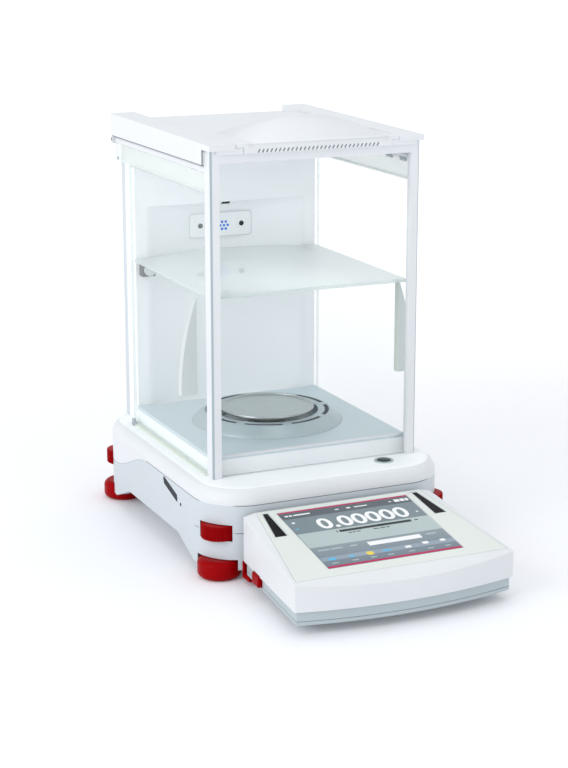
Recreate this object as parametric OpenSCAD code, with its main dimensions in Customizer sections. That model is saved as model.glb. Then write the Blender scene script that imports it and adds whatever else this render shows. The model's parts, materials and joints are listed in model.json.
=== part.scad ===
// Semi-micro balance: a levelled base with a weigh cell, a glass draught shield and a docked terminal.
// Millimetres, +Z up, front towards -Y, origin on the bench under the middle of the whole object.

/* [Base] */
// Width of the base housing
base_w = 212; // [200:1:240]
// Depth of the base housing
base_d = 264; // [260:1:290]
// Radius of the base corners seen from above
base_corner_r = 40; // [36:1:44]
// Height of the lowest housing edge above the bench
base_lift = 8; // [7:0.5:10]
// Rise of the arches between the corner columns
side_arch = 13; // [11:0.5:14]
// Length of the slope at each end of an arch
arch_run = 34; // [24:1:36]
// Height of the lower tray
tray_h = 30.5; // [29:0.5:33]
// Thickness of the tray floor
tray_floor = 3; // [2.5:0.1:4]
// Height of the middle shell
shell_h = 22.5; // [22:0.5:28]
// Height of the top cover up to the deck
cover_h = 13; // [12:0.5:16]
// Rounding between the sides and the deck
deck_bevel = 10; // [6:0.5:11]
// Height of the plinth below the chamber floor
plinth_h = 11.6; // [8:0.2:14]
// Wall thickness of the housings
wall = 3; // [2:0.1:3.5]

/* [Levelling feet] */
// Radius of a foot
foot_r = 17.6; // [15:0.1:19]
// Height of a foot
foot_h = 16; // [14:0.5:17]
// Distance of a foot axis from the side of the base
foot_inset_x = 14; // [13:0.5:17]
// Distance of a foot axis from the front or rear of the base
foot_inset_y = 20; // [18:0.5:24]
// Radius of the threaded foot stem
stem_r = 4; // [3:0.1:5]
// Radius of a levelling wheel over its ribs
wheel_r = 14.5; // [13:0.1:16]
// Height of a levelling wheel
wheel_h = 12; // [10:0.5:13]
// Number of grip ribs on a levelling wheel
wheel_ribs = 40; // [24:2:60]
// Free height above a foot in its pocket
foot_room = 0.5; // [0.4:0.1:1.5]

/* [Draught shield] */
// Width over the front posts
shield_w = 180; // [172:1:190]
// Height from the deck to the top of the posts
shield_h = 259.4; // [230:0.2:300]
// Setback of the shield's front from the front of the base
shield_setback = 36; // [34:0.5:44]
// Depth of the chamber from the front plane to the rear wall
chamber_d = 184; // [180:1:190]
// Width of a front post seen from the front
post_w = 7.5; // [6:0.5:12]
// Thickness of a post's leg along the side
post_leg = 4.5; // [4:0.1:6]
// Depth of a front post
post_d = 12; // [10:0.5:13]
// Bevel on the outer edge of a post
post_bevel = 1.5; // [1:0.5:4]
// Height of the front cross beam
beam_h = 6.5; // [5:0.5:9]
// Drop of the beam top below the post tops
beam_drop = 3.2; // [2.5:0.1:4]
// Thickness of the glass panes
glass_t = 3; // [2:0.1:4]
// Depth of the rear column
column_d = 32; // [30:0.5:34]
// Sideways set-in of the rear column from the shield's outside
column_inset = 5; // [4.6:0.1:8]
// Depth of the hollow in the rear wall
wall_hollow = 18; // [12:0.5:19]
// Width of the hollow in the rear wall
hollow_w = 150; // [120:1:156]
// Drop of the hollow's top below the post tops
hollow_drop = 70; // [50:1:90]

/* [Lid] */
// Width over the lid skirts
lid_w = 184; // [182:0.5:196]
// Height of the lid skirts below the post tops
skirt_h = 12; // [8:0.5:16]
// Thickness of the lid skirts
skirt_t = 1.6; // [1.2:0.1:2]
// Width of each lid rail
rail_w = 22; // [18:0.5:26]
// Height of the rails at the front
rail_front_h = 4.6; // [4.4:0.1:7]
// Height of the rails at the rear
rail_rear_h = 7.1; // [5:0.1:10]
// Overhang of the lid behind the rear column
lid_overhang = 6; // [5:0.5:10]
// Overhang of the lid in front of the posts
lid_lip = 3; // [1:0.5:5]
// Thickness of the sliding top door
top_door_t = 2.6; // [2:0.1:3]
// Gap between the sliding top door and the rear edge of the lid
top_door_back = 36; // [30:1:50]
// Half width of the arched grip
grip_half_w = 57; // [40:1:60]
// Height of the arched grip
grip_h = 17.5; // [8:0.5:20]
// Distance from the grip's front edge to its ridge
grip_ridge = 23; // [15:1:30]
// Length of the grip from front to back
grip_len = 75; // [60:1:90]
// Number of ribs under the grip
grip_ribs = 30; // [10:1:34]

/* [Side doors] */
// Radius of the round hinge rail
hinge_r = 2; // [1.6:0.1:2.4]
// Radius of the hinge pins
hinge_pin_r = 0.8; // [0.6:0.1:1]
// Height of the rail below the hinge axis
rail_drop = 3; // [2.5:0.1:5]
// Height of the fixed upper glass strip
strip_h = 15.6; // [10:0.2:24]
// Lap of a closed side door over the rear column
door_lap = 0.4; // [0:0.1:3]
// Reach of a door handle at its foot
handle_reach = 14.2; // [10:0.2:24]
// Height of a door handle
handle_h = 78; // [50:1:100]
// Thickness of a door handle
handle_t = 6.5; // [3:0.5:10]
// Height of a handle's foot above the deck
handle_lift = 62; // [40:1:100]
// Distance of a handle from the door's front edge
handle_set = 19.5; // [0:0.5:40]

/* [Chamber] */
// Thickness of the metal floor plate
floor_t = 3.4; // [2:0.2:5]
// Setback of the pan axis from the shield's front plane
pan_setback = 98.5; // [92:0.5:102]
// Radius of the weighing pan
pan_r = 40; // [35:0.5:42]
// Thickness of the weighing pan
pan_t = 2.6; // [2:0.1:4]
// Height of the pan top above the floor plate
pan_rise = 11.9; // [10.5:0.1:16]
// Radial gap between the pan and the draught ring
ring_gap = 3.5; // [2:0.5:6]
// Width of the draught ring
ring_w = 20; // [14:0.5:22]
// Height of the draught ring
ring_h = 8.8; // [6:0.2:9]
// Number of slots in the draught ring
ring_slots = 8; // [4:1:10]
// Height of the shelf's top above the deck
shelf_rise = 145.5; // [120:0.5:160]
// Thickness of the shelf
shelf_t = 3; // [2:0.1:5]
// Radius of a shelf clamp knob
knob_r = 5; // [4:0.1:5.6]

/* [Ionizer] */
// Width of the ionizer plate
ion_w = 60; // [50:1:66]
// Height of the ionizer plate
ion_h = 22; // [18:0.5:28]
// Height of the ionizer plate's middle above the deck
ion_rise = 167; // [164:0.5:172]
// Distance of a nozzle from the middle of the plate
ion_nozzle_x = 19.5; // [14:0.5:22]
// Radius of the nozzle bore
ion_bore_r = 1.8; // [1.2:0.1:2.4]

/* [Level] */
// Sideways place of the level bubble
level_x = 57; // [40:1:66]
// Distance of the level bubble in front of the shield
level_ahead = 8.5; // [8.4:0.1:12]
// Radius of the level's metal ring
level_ring_r = 8; // [6:0.1:8.2]
// Radius of the level's glass
level_glass_r = 6; // [4:0.1:6.4]
// Depth of the level
level_depth = 6; // [5:0.1:8]

/* [Terminal] */
// Depth of the terminal from its rear edge to its bowed front
term_d = 127; // [122:1:140]
// Width of the terminal at the rear
term_rear_w = 164; // [158:0.5:172]
// Width of the terminal at its front corners
term_front_w = 183; // [166:0.5:196]
// Bow of the terminal's front
term_bow = 11.3; // [6:0.1:14]
// Height of the terminal's top at the rear
term_rear_h = 57.3; // [54:0.1:60]
// Slope of the terminal's top in degrees
term_tilt = 8.5; // [6:0.1:9]
// Height of the terminal's underside
term_lift = 7.8; // [7:0.1:9]
// Height of the terminal's lower housing
term_low_h = 10.8; // [9:0.1:12]
// Set-in of the lower housing
term_low_inset = 2; // [1:0.1:3]
// Gap between the terminal and the base
dock_gap = 5.3; // [5:0.1:8]
// Width of the screen
screen_w = 113; // [100:1:116]
// Length of the screen along the slope
screen_l = 94; // [80:1:95]
// Distance of the screen from the rear edge along the slope
screen_back = 7; // [6:0.5:9]
// Thickness of the touch glass
screen_t = 1.8; // [1:0.1:2.5]
// Length of a release button
button_l = 14; // [10:0.5:18]
// Height of a release button
button_h = 9; // [6:0.5:10]
// Travel of a release button
button_travel = 2.5; // [1:0.1:3]

/* [Weigh cell] */
// Length of the lever from the pan axis to its pivot
lever_front = 33.5; // [30:0.5:36]
// Length of the lever from its pivot to the coil
lever_rear = 44; // [42:0.5:46]
// Radius of the lever's pivot pin
pivot_r = 2; // [1.5:0.1:2.5]
// Radius of the pan stem
pan_stem_r = 6; // [5:0.1:7]
// Outer radius of the coil
coil_r = 13.2; // [12:0.1:13.6]
// Outer radius of the magnet pot
magnet_r = 19; // [18:0.1:20]
// Radius of the calibration weight
weight_r = 7; // [6:0.1:7.5]
// Length of the calibration weight
weight_l = 40; // [34:1:41]
// Stroke of the calibration lifter
lifter_stroke = 3; // [2:0.1:3.2]

/* [Hidden] */

// Facets of the round outlines and of the wide, shallow arcs
smooth = 96;
arc_smooth = 384;
// Slices of the deck's rounded edge
deck_steps = 4;
// Running fit between a pin and its bore, or a piece and its seat
fit = 0.08;
// Clear space between pieces that move past each other
clear = 0.4;
// Overlap of joined solids, and overshoot of a cut past the face that it opens
cut = 1;
// Thickness of the slice that a bevel ends in
slice = 0.01;

// Heights of the base, from the bench up
z_arch = base_lift + side_arch;
z_inside = z_arch + tray_floor;
z_seam_low = base_lift + tray_h;
z_seam_high = z_seam_low + shell_h;
z_deck = z_seam_high + cover_h;
z_plinth = z_deck + plinth_h;
z_floor = z_plinth + floor_t;
// Heights of the draught shield
z_post = z_deck + shield_h;
z_beam = z_post - beam_drop;
z_skirt = z_post - skirt_h;
z_hinge = z_skirt - clear - hinge_r;
z_rail_low = z_hinge - rail_drop;
z_strip = z_rail_low - strip_h;
z_shelf = z_deck + shelf_rise;
z_ion = z_deck + ion_rise;
// Places along the depth, from the rear of the base to the front of the terminal
y_rear = (base_d + dock_gap + term_d) / 2;
y_front = y_rear - base_d;
y_mid = (y_rear + y_front) / 2;
y_term = y_front - dock_gap;
y_shield = y_front + shield_setback;
y_post = y_shield + post_d;
y_wall = y_shield + chamber_d;
y_column = y_wall + column_d;
y_lid = y_column + lid_overhang;
y_lid_front = y_shield - lid_lip;
y_pan = y_shield + pan_setback;
y_pivot = y_pan + lever_front;
y_coil = y_pivot + lever_rear;
// Half widths of the glass, the column, the plinth and the lid
glass_set_in = 0.5;
glass_out = shield_w / 2 - glass_set_in;
glass_in = glass_out - glass_t;
hinge_x = glass_out - hinge_r;
column_half = shield_w / 2 - column_inset;
plinth_half = glass_in - clear;
lid_half = lid_w / 2;
rail_in = lid_half - rail_w;
post_in = shield_w / 2 - post_w;
leg_in = shield_w / 2 - post_leg;

// Foot axes, and the pocket of a wheel across the lower seam
foot_x = base_w / 2 - foot_inset_x;
function foot_y(sy) = y_mid + sy * (base_d / 2 - foot_inset_y);
foot_edge = 3;
wheel_rib = 0.7;
wheel_play = 0.6;
wheel_z = z_seam_low - wheel_h / 2;
stem_over = 5;
stem_top = z_seam_low + wheel_h / 2 + stem_over;
column_boss_r = wheel_r + 2 * clear + 2 * wall;

// Screws that clamp the tray, the shell and the cover together
screw_r = 2;
screw_head_r = 4;
screw_head_h = 2.6;
screw_key_r = 1.5;
screw_boss_r = 5;
screw_x = base_w / 2 - wall - screw_boss_r + cut;
screw_dy = base_d / 2 - base_corner_r - arch_run - 2 * screw_head_r;
screw_top = z_seam_high + wall;

// Slanted sensor windows in the sides of the shell
window_t = 1.6;
window_l = 33;
window_h = 4;
window_lean = 18;
window_behind = 54;
window_drop = 7.8;
window_y = y_shield + window_behind;
window_z = z_seam_high - window_drop;
window_set_in = 0.2;

// Level in the deck
level_y = y_shield - level_ahead;
level_floor = 1.2;
level_ring_proud = 0.8;
level_glass_proud = 0.5;

// Sockets at the rear, each with its place along X, width and height
socket_rise = 12;
socket_z = z_seam_low + socket_rise;
socket_list = [[-30, 12, 11], [-6, 14, 7], [32, 31, 12.5]];
socket_deep = 14;
socket_mouth = 8;
socket_rim = 1.2;
socket_flange = 1;
inlet_x = -56;
inlet_r = 5;
inlet_bore_r = 2.75;
inlet_bore_l = 10;
inlet_w = 14;
inlet_h = 12;

// Board on four posts, with a chip and a transformer
board_w = 46;
board_ahead = 34;
board_behind = 76;
board_lift = 4;
board_x = [-foot_x, board_w - foot_x];
board_y = [y_pan - board_ahead, y_pan + board_behind];
board_t = 1.6;
board_post_r = 3;
board_post_in = 5;
z_board = z_inside + board_lift;
chip = [18, 18, 1.8];
chip_at = [12, 34];
transformer = [24, 12, 7.4];
transformer_at = [10, 74];

// Weigh cell on the tray floor
slab_t = 5;
z_slab = z_inside + slab_t;
pivot_rise = 20;
lever_rise = 14;
z_pivot = z_inside + pivot_rise;
z_lever = z_inside + lever_rise;
tower_half = 18;
tower_d = 14.5;
tower_h = 38;
z_tower = z_inside + tower_h;
lever_t = 8;
lever_half = 6;
lever_bay = 9;
lever_knee = 15;
lever_slant = 4;
lever_tail = 8;
cheek_gap = 2;
cheek_in = lever_half + cheek_gap;
cheek_t = 7;
cheek_out = cheek_in + cheek_t;
cheek_d = 6;
cheek_top = 7;
nose_half = 7;
nose_t = 5.6;
nose_rise = 7;
z_nose = z_inside + nose_rise;
flag_half = 1;
flag_l = 6;
flag_edge = 2;
stem_low = z_nose + nose_t + clear;
// Coil on the lever, in the gap of the magnet pot
coil_h = 10;
coil_t = 2.9;
coil_gap = 1.4;
coil_web = 2;
magnet_floor = 2;
magnet_drop = 1.5;
// Light barrier around the flag at the lever's end
barrier_half = 9;
barrier_y = y_coil + magnet_r;
barrier_d = 8;
barrier_wall = 5;
barrier_foot = 2;
barrier_arm_in = 3;
barrier_arm_out = 8;
// Pan on its stem
z_pan = z_floor + pan_rise;
z_pan_low = z_pan - pan_t;
pan_hole_gap = 11;
pan_hole_r = pan_stem_r + pan_hole_gap;
pan_boss_h = 6;
pan_boss_wall = 3;
pan_pin_r = 3.9;
pan_pin_short = 1;
pan_edge = 2;
pan_side = 1.4;
pan_rim = 1.4;
pan_rim_slope = 0.8;
pan_dish = 0.9;
// Calibration drive across the lever
saddle_h = 1.3;
saddle_half = 3;
saddle_play = 0.6;
z_saddle = z_lever + lever_t + saddle_h;
z_lift = z_saddle + lifter_stroke + saddle_play;
lift_t = 2;
lift_half = 10;
lift_end = 6;
weight_behind = 53.5;
y_weight = y_pan + weight_behind;
cradle_half = 5;
weight_seat = 0.05;
z_weight = z_lift + lift_t + sqrt(pow(weight_r, 2) - pow(cradle_half, 2)) + weight_seat;
drive_x = 43;
drive_r = 2.5;
drive_over = 8;
drive_top = z_lift + lift_t + drive_over;
drive_end = 0.2;
nut_half = 7;
nut_h = 8;
guide_x = -29;
guide_r = 2;
guide_foot = 5;
motor_r = 9;
motor_h = 10;
motor_ear = 4;
motor_ear_half = 5;
motor_ear_t = 2;

// Draught ring: its flat top, its sloping skirt and its slots
ring_in = pan_r + ring_gap;
ring_top = 0.55;
ring_skirt = 0.3;
ring_toe = 2;
slot_in = 6.3;
slot_w = 2.4;
slot_share = 288;

// Pane in the front frame, and the pins of the side flaps
pane_set_in = 4;
pane_y = y_shield + pane_set_in;
pane_seat = 1.5;
pin_deep = 3;

// Hollow of the rear wall, a cylinder about a vertical axis
hollow_r = (pow(hollow_w / 2, 2) + pow(wall_hollow, 2)) / (2 * wall_hollow);
hollow_y = y_wall + wall_hollow - hollow_r;
z_hollow = z_post - hollow_drop;
skin_gap = 2;
skin_y = y_wall + wall_hollow + wall + skin_gap;
// Vents of the rear cover
vent_count = 9;
vent_pitch = 12;
vent_w = 4;
vent_h = 24;
vent_drop = 26;
// Ionizer plate and its nozzles
ion_proud = 0.5;
ion_y = hollow_y + sqrt(pow(hollow_r, 2) - pow(ion_w / 2, 2)) - ion_proud;
nozzle_wall = 1.6;
nozzle_r = ion_bore_r + nozzle_wall;
nozzle_rim = 0.8;
nozzle_proud = 1;
nozzle_end = 2;

// Lid: the ledges under the top door, and the ears of the flaps
ledge_w = 6;
ledge_t = 1.8;
ledge_gap = 0.2;
z_top_door = z_post + ledge_t + ledge_gap;
y_top_door = y_lid - top_door_back;
lip_half = rail_in - ledge_w - 2 * clear;
ear_t = 4;
ear_half = 3.5;
ear_drop = 4;
// Arched grip and the slanted ribs under it
grip_root = 0.5;
grip_flat = 6;
rib_pitch = 3.5;
rib_lean = 30;
rib_cut = [1.2, 2, 3];
rib_rise = 1.8;

// Side flaps and doors
rail_y0 = y_post + clear;
door_len = y_wall + door_lap - rail_y0;
rail_y1 = y_lid - ear_t - clear;
glass_mid = (glass_in + glass_out) / 2;
tongue_w = 1;
tongue_h = 1.2;
tongue_play = 0.2;
door_lift = 2;
z_door_top = z_strip - clear;
handle_tip = 1;
handle_bow = handle_reach - handle_tip;
handle_r = (pow(handle_bow, 2) + pow(handle_h, 2)) / (2 * handle_bow);

// Shelf, its brackets and clamp knobs
shelf_side = 2;
bracket_half = 6;
bracket_edge = 3;
clamp_x = column_half - bracket_half - bracket_edge;
bracket_h = 12;
bracket_d = 8;
y_bracket = y_wall - bracket_d;
z_clamp = z_shelf - shelf_t - bracket_h / 2;
clamp_screw_r = 1.6;
clamp_screw_end = 2;
knob_t = 4;
knob_grips = 12;
knob_grip_r = 0.6;
y_knob = y_bracket - clear - knob_t;

// Terminal: taper of its sides, bow of its front and slope of its top
term_side = term_d - term_bow;
term_front_y = y_term - term_side;
bow_r = (pow(term_front_w / 2, 2) + pow(term_bow, 2)) / (2 * term_bow);
term_taper = atan((term_front_w - term_rear_w) / 2 / term_side);
function term_half(y) = term_rear_w / 2 + (y_term - y) * tan(term_taper);
z_term_seam = term_lift + term_low_h;
// Creases of the terminal's top: half width at the rear, turn of the sides, length of the flat, falls
crease_half = 72;
crease_turn = 8.5;
crease_front = 113;
shoulder_fall = 14;
brow_fall = 10;
term_floor = 2.5;
// Display module under the glass, and the posts that carry it
module_t = 7;
module_side = 4;
module_notch = [10, 30, 6];
panel_edge = 0.5;
prop_r = 4;
prop_in = 6;
prop_back = [18, 92];
z_module = term_rear_h - (wall + module_t) / cos(term_tilt) - fit;
function prop_top(back) = z_module - (back + prop_r) * tan(term_tilt);
// Tapered sensor windows beside the screen, from the rear edge forwards
eye_gap = 7;
eye_rear_w = 4;
eye_front_w = 9.5;
eye_shift = 0.5;
eye_back = 4.5;
eye_l = 38.5;
eye_t = 1.2;
// Release buttons in the sides, across the terminal's seam
button_back = 31;
button_drop = 8.5;
button_y = y_term - button_back;
button_z = z_term_seam - button_drop;
button_deep = 8;
button_proud = 1.5;
// Feet under the terminal, and the dock hooks that it stands over
pad_r = 7;
pad_in = 24;
pad_rear = 16;
pad_front = 24;
pad_y = [y_term - pad_rear, term_front_y + pad_front];
hook_x = 76;
hook_half = 5;
hook_t = 4;
hook_rise = 10;
hook_back = 3;
hook_reach = 8;
z_hook = term_lift - clear;

// Flat outlines

module round_rect(w, d, r) {
    square([w - 2 * r, d], center = true);
    square([w, d - 2 * r], center = true);
    for (sx = [-1, 1], sy = [-1, 1])
        translate([sx * (w / 2 - r), sy * (d / 2 - r)]) circle(r = r, $fn = smooth);
}

module base_outline(inset = 0) {
    translate([0, y_mid]) round_rect(base_w - 2 * inset, base_d - 2 * inset, base_corner_r - inset);
}

module terminal_outline(inset = 0) {
    y_far = y_term - 2 * term_d;
    intersection() {
        polygon([
            [inset - term_half(y_term), y_term - inset], [term_half(y_term) - inset, y_term - inset],
            [term_half(y_far) - inset, y_far], [inset - term_half(y_far), y_far]
        ]);
        translate([0, y_term - term_d + bow_r]) circle(r = bow_r - inset, $fn = arc_smooth);
    }
}

// Placing helpers

module at_feet() {
    for (sx = [-1, 1], sy = [-1, 1]) translate([sx * foot_x, foot_y(sy), 0]) children();
}

module at_screws() {
    for (sx = [-1, 1], sy = [-1, 1]) translate([sx * screw_x, y_mid + sy * screw_dy, 0]) children();
}

module side(sx) {
    if (sx > 0) children();
    else mirror([1, 0, 0]) children();
}

module both_sides() {
    for (sx = [-1, 1]) side(sx) children();
}

module tube_z(r, z0, z1) {
    translate([0, 0, z0]) cylinder(r = r, h = z1 - z0, $fn = smooth);
}

module rod_x(r, x0, x1) {
    translate([x0, 0, 0]) rotate([0, 90, 0]) cylinder(r = r, h = x1 - x0, $fn = smooth);
}

module rod_y(r, y0, y1) {
    translate([0, y0, 0]) rotate([-90, 0, 0]) cylinder(r = r, h = y1 - y0, $fn = smooth);
}

module box(x0, x1, y0, y1, z0, z1) {
    translate([x0, y0, z0]) cube([x1 - x0, y1 - y0, z1 - z0]);
}

// A side view, with Y and Z as its plane, drawn out along X
module side_view(x0, x1) {
    translate([x0, 0, 0]) rotate([90, 0, 90]) linear_extrude(x1 - x0) children();
}

module hollow_column(r, z0, z1) {
    translate([0, hollow_y, z0]) cylinder(r = r, h = z1 - z0, $fn = arc_smooth);
}

// Base housings

module arch_view(half) {
    low = half + arch_run * (side_arch + cut) / side_arch;
    polygon([[-low, base_lift - cut], [low, base_lift - cut], [half, z_arch], [-half, z_arch]]);
}

module tray_arches() {
    translate([0, y_mid, 0]) {
        side_view(-base_w, base_w) arch_view(base_d / 2 - base_corner_r - arch_run);
        rotate([0, 0, 90]) side_view(-base_d, base_d) arch_view(base_w / 2 - base_corner_r - arch_run);
    }
}

module foot_columns(z1) {
    at_feet() tube_z(column_boss_r, 0, z1);
}

module wheel_pockets() {
    at_feet() tube_z(wheel_r + 2 * clear, wheel_z - wheel_play, wheel_z + wheel_h + wheel_play);
}

module stem_holes() {
    at_feet() tube_z(stem_r + clear, 0, z_deck);
}

module screw_bosses(z1) {
    at_screws() tube_z(screw_boss_r, 0, z1);
}

module screw_holes(z1) {
    at_screws() tube_z(screw_r + fit, 0, z1);
}

module base_tray() {
    color("gainsboro") difference() {
        translate([0, 0, base_lift]) linear_extrude(tray_h) base_outline();
        tray_arches();
        difference() {
            translate([0, 0, z_inside]) linear_extrude(tray_h) base_outline(wall);
            foot_columns(z_deck);
            screw_bosses(z_deck);
        }
        at_feet() tube_z(foot_r + 2 * clear, 0, foot_h + foot_room);
        stem_holes();
        wheel_pockets();
        screw_holes(z_deck);
    }
}

// Leans down towards the front along the side of the shell
module sensor_slot(depth) {
    translate([base_w / 2 - depth, window_y, window_z]) rotate([window_lean, 0, 0])
        translate([0, -window_l / 2, -window_h / 2]) cube([depth + cut, window_l, window_h]);
}

module rear_cutouts() {
    for (s = socket_list)
        box(s[0] - s[1] / 2, s[0] + s[1] / 2, y_rear - wall - cut, y_rear + cut,
            socket_z - s[2] / 2, socket_z + s[2] / 2);
    translate([inlet_x, 0, socket_z]) rod_y(inlet_r, y_rear - wall - cut, y_rear + cut);
}

module base_shell() {
    color("gainsboro") difference() {
        translate([0, 0, z_seam_low]) linear_extrude(shell_h) base_outline();
        difference() {
            translate([0, 0, z_seam_low - cut]) linear_extrude(shell_h + 2 * cut) base_outline(wall);
            foot_columns(stem_top + wall);
            screw_bosses(z_deck);
        }
        wheel_pockets();
        stem_holes();
        screw_holes(z_deck);
        both_sides() sensor_slot(window_t);
        rear_cutouts();
    }
}

// Straight up to the deck's edge, then rounded over to the deck
module cover_block(inset, z0) {
    turn = deck_bevel - inset;
    hull() {
        translate([0, 0, z0]) linear_extrude(z_deck - deck_bevel - z0) base_outline(inset);
        for (i = [1 : deck_steps]) let (a = 90 * i / deck_steps)
            translate([0, 0, z_deck - deck_bevel + turn * sin(a) - slice])
                linear_extrude(slice) base_outline(deck_bevel - turn * cos(a));
    }
}

module top_cover() {
    color("whitesmoke") difference() {
        union() {
            cover_block(0, z_seam_high);
            box(-plinth_half, plinth_half, y_post + clear, y_wall, z_deck - cut, z_plinth);
        }
        difference() {
            cover_block(wall, z_seam_high - slice);
            screw_bosses(screw_top + cut);
        }
        box(wall - plinth_half, plinth_half - wall, y_post + clear + wall, y_wall - wall,
            z_seam_high, z_plinth - wall);
        translate([0, y_pan, 0]) tube_z(pan_hole_r, z_seam_high, z_floor);
        translate([level_x, level_y, 0]) tube_z(level_ring_r, z_deck - level_depth, z_floor);
        screw_holes(screw_top);
    }
}

module base_screws() {
    color("dimgray") at_screws() difference() {
        union() {
            tube_z(screw_r, z_arch - cut, screw_top - clear);
            tube_z(screw_head_r, z_arch - screw_head_h, z_arch);
        }
        translate([0, 0, z_arch - screw_head_h - cut]) cylinder(r = screw_key_r, h = 2 * cut, $fn = 6);
    }
}

module side_sensor_windows() {
    color("black") both_sides() intersection() {
        sensor_slot(window_t - window_set_in);
        translate([0, 0, z_seam_low]) linear_extrude(shell_h) base_outline(window_set_in);
    }
}

module level_ring() {
    color("silver") translate([level_x, level_y, 0]) difference() {
        tube_z(level_ring_r - fit, z_deck - level_depth, z_deck + level_ring_proud);
        tube_z(level_glass_r, z_deck - level_depth + level_floor, z_deck + cut);
    }
}

module level_bubble() {
    color("darkolivegreen") translate([level_x, level_y, 0])
        tube_z(level_glass_r - fit, z_deck - level_depth + level_floor, z_deck + level_glass_proud);
}

// Sockets and board

module power_inlet() {
    color("dimgray") translate([inlet_x, 0, socket_z]) difference() {
        union() {
            rod_y(inlet_r - fit, y_rear - wall - cut, y_rear);
            box(-inlet_w / 2, inlet_w / 2, y_rear - wall - socket_deep, y_rear - wall,
                -inlet_h / 2, inlet_h / 2);
        }
        rod_y(inlet_bore_r, y_rear - inlet_bore_l, y_rear + cut);
    }
}

module socket_block(s, grow, y0, y1) {
    box(s[0] - s[1] / 2 - grow, s[0] + s[1] / 2 + grow, y0, y1,
        socket_z - s[2] / 2 - grow, socket_z + s[2] / 2 + grow);
}

module data_sockets() {
    color("silver") for (s = socket_list) difference() {
        union() {
            socket_block(s, -fit, y_rear - wall - cut, y_rear);
            socket_block(s, socket_flange, y_rear - wall - socket_deep, y_rear - wall);
        }
        socket_block(s, -socket_rim, y_rear - socket_mouth, y_rear + cut);
    }
}

module main_board() {
    z_top = z_board + board_t;
    color("darkgreen") {
        box(board_x[0], board_x[1], board_y[0], board_y[1], z_board, z_top);
        for (x = [board_x[0] + board_post_in, board_x[1] - board_post_in])
            for (y = [board_y[0] + board_post_in, board_y[1] - board_post_in])
                translate([x, y, 0]) tube_z(board_post_r, z_inside, z_board);
        translate([board_x[0] + chip_at[0], board_y[0] + chip_at[1], z_top]) cube(chip);
        translate([board_x[0] + transformer_at[0], board_y[0] + transformer_at[1], z_top]) cube(transformer);
    }
}

// Levelling feet and wheels

module foot(sx, sy) {
    color("crimson") translate([sx * foot_x, foot_y(sy), 0]) {
        rotate_extrude($fn = smooth) polygon([
            [0, 0], [foot_r - foot_edge, 0], [foot_r, foot_edge],
            [foot_r, foot_h - foot_edge], [foot_r - foot_edge, foot_h], [0, foot_h]
        ]);
        tube_z(stem_r, foot_h - cut, stem_top);
    }
}

module wheel(sx, sy) {
    color("crimson") translate([sx * foot_x, foot_y(sy), wheel_z]) difference() {
        linear_extrude(wheel_h) polygon([
            for (i = [0 : 2 * wheel_ribs - 1])
                let (a = i * 180 / wheel_ribs, r = wheel_r - (i % 2) * wheel_rib) [r * cos(a), r * sin(a)]
        ]);
        tube_z(stem_r + fit, -cut, wheel_h + cut);
    }
}

module foot_front_left() { foot(-1, -1); }
module foot_front_right() { foot(1, -1); }
module foot_rear_left() { foot(-1, 1); }
module foot_rear_right() { foot(1, 1); }
module wheel_front_left() { wheel(-1, -1); }
module wheel_front_right() { wheel(1, -1); }
module wheel_rear_left() { wheel(-1, 1); }
module wheel_rear_right() { wheel(1, 1); }

// Weigh cell

module cell_block() {
    color("lightsteelblue") difference() {
        union() {
            box(guide_x - guide_foot, tower_half, y_pan - tower_d, y_coil - magnet_r - cut, z_inside, z_slab);
            box(-tower_half, tower_half, y_pan - tower_d, y_pan + tower_d, z_slab - cut, z_tower);
            both_sides() box(cheek_in, cheek_out, y_pivot - cheek_d, y_pivot + cheek_d,
                             z_slab - cut, z_pivot + cheek_top);
            translate([guide_x, y_weight, 0]) tube_z(guide_r, z_slab - cut, drive_top);
        }
        translate([0, y_pan, 0]) tube_z(pan_stem_r + fit, z_slab, z_deck);
        box(-lever_half - cut, lever_half + cut, y_pan - lever_bay, y_pan + tower_d + cut,
            z_slab, z_lever + lever_t + cut);
        translate([0, y_pivot, z_pivot]) rod_x(pivot_r + fit, -cheek_out - cut, cheek_out + cut);
    }
}

module load_lever() {
    y_tail = y_coil + lever_tail;
    color("silver") {
        side_view(-lever_half, lever_half) polygon([
            [y_pan - nose_half, z_nose], [y_pan + nose_half, z_nose],
            [y_pan + lever_knee, z_lever], [y_tail, z_lever],
            [y_tail, z_lever + lever_t], [y_pan + lever_knee + lever_slant, z_lever + lever_t],
            [y_pan + nose_half, z_nose + nose_t], [y_pan - nose_half, z_nose + nose_t]
        ]);
        translate([0, y_pivot, z_pivot]) rod_x(pivot_r, -cheek_out, cheek_out);
        box(-lever_half, lever_half, y_weight - saddle_half, y_weight + saddle_half,
            z_lever + lever_t - cut, z_saddle);
        box(-flag_half, flag_half, y_tail - cut, y_tail + flag_l,
            z_lever + flag_edge, z_lever + lever_t - flag_edge);
    }
}

module force_coil() {
    color("peru") translate([0, y_coil, 0]) difference() {
        tube_z(coil_r, z_lever - coil_h, z_lever);
        tube_z(coil_r - coil_t, z_lever - coil_h - cut, z_lever - coil_web);
    }
}

module magnet_pot() {
    color("slategray") translate([0, y_coil, 0]) {
        difference() {
            tube_z(magnet_r, z_inside, z_lever - magnet_drop);
            tube_z(coil_r + coil_gap, z_inside + magnet_floor, z_lever);
        }
        tube_z(coil_r - coil_t - coil_gap, z_inside, z_lever - coil_web - coil_gap);
    }
}

module position_sensor() {
    y_back = barrier_y + barrier_d;
    color("darkgreen") {
        box(-barrier_half, barrier_half, barrier_y + clear, y_back, z_inside, z_inside + barrier_foot);
        box(-barrier_half, barrier_half, y_back - barrier_wall, y_back, z_inside, z_lever + lever_t);
        both_sides() box(barrier_arm_in, barrier_arm_out, y_coil + lever_tail + flag_l / 2, y_back,
                         z_lever + cut, z_lever + lever_t);
    }
}

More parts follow.
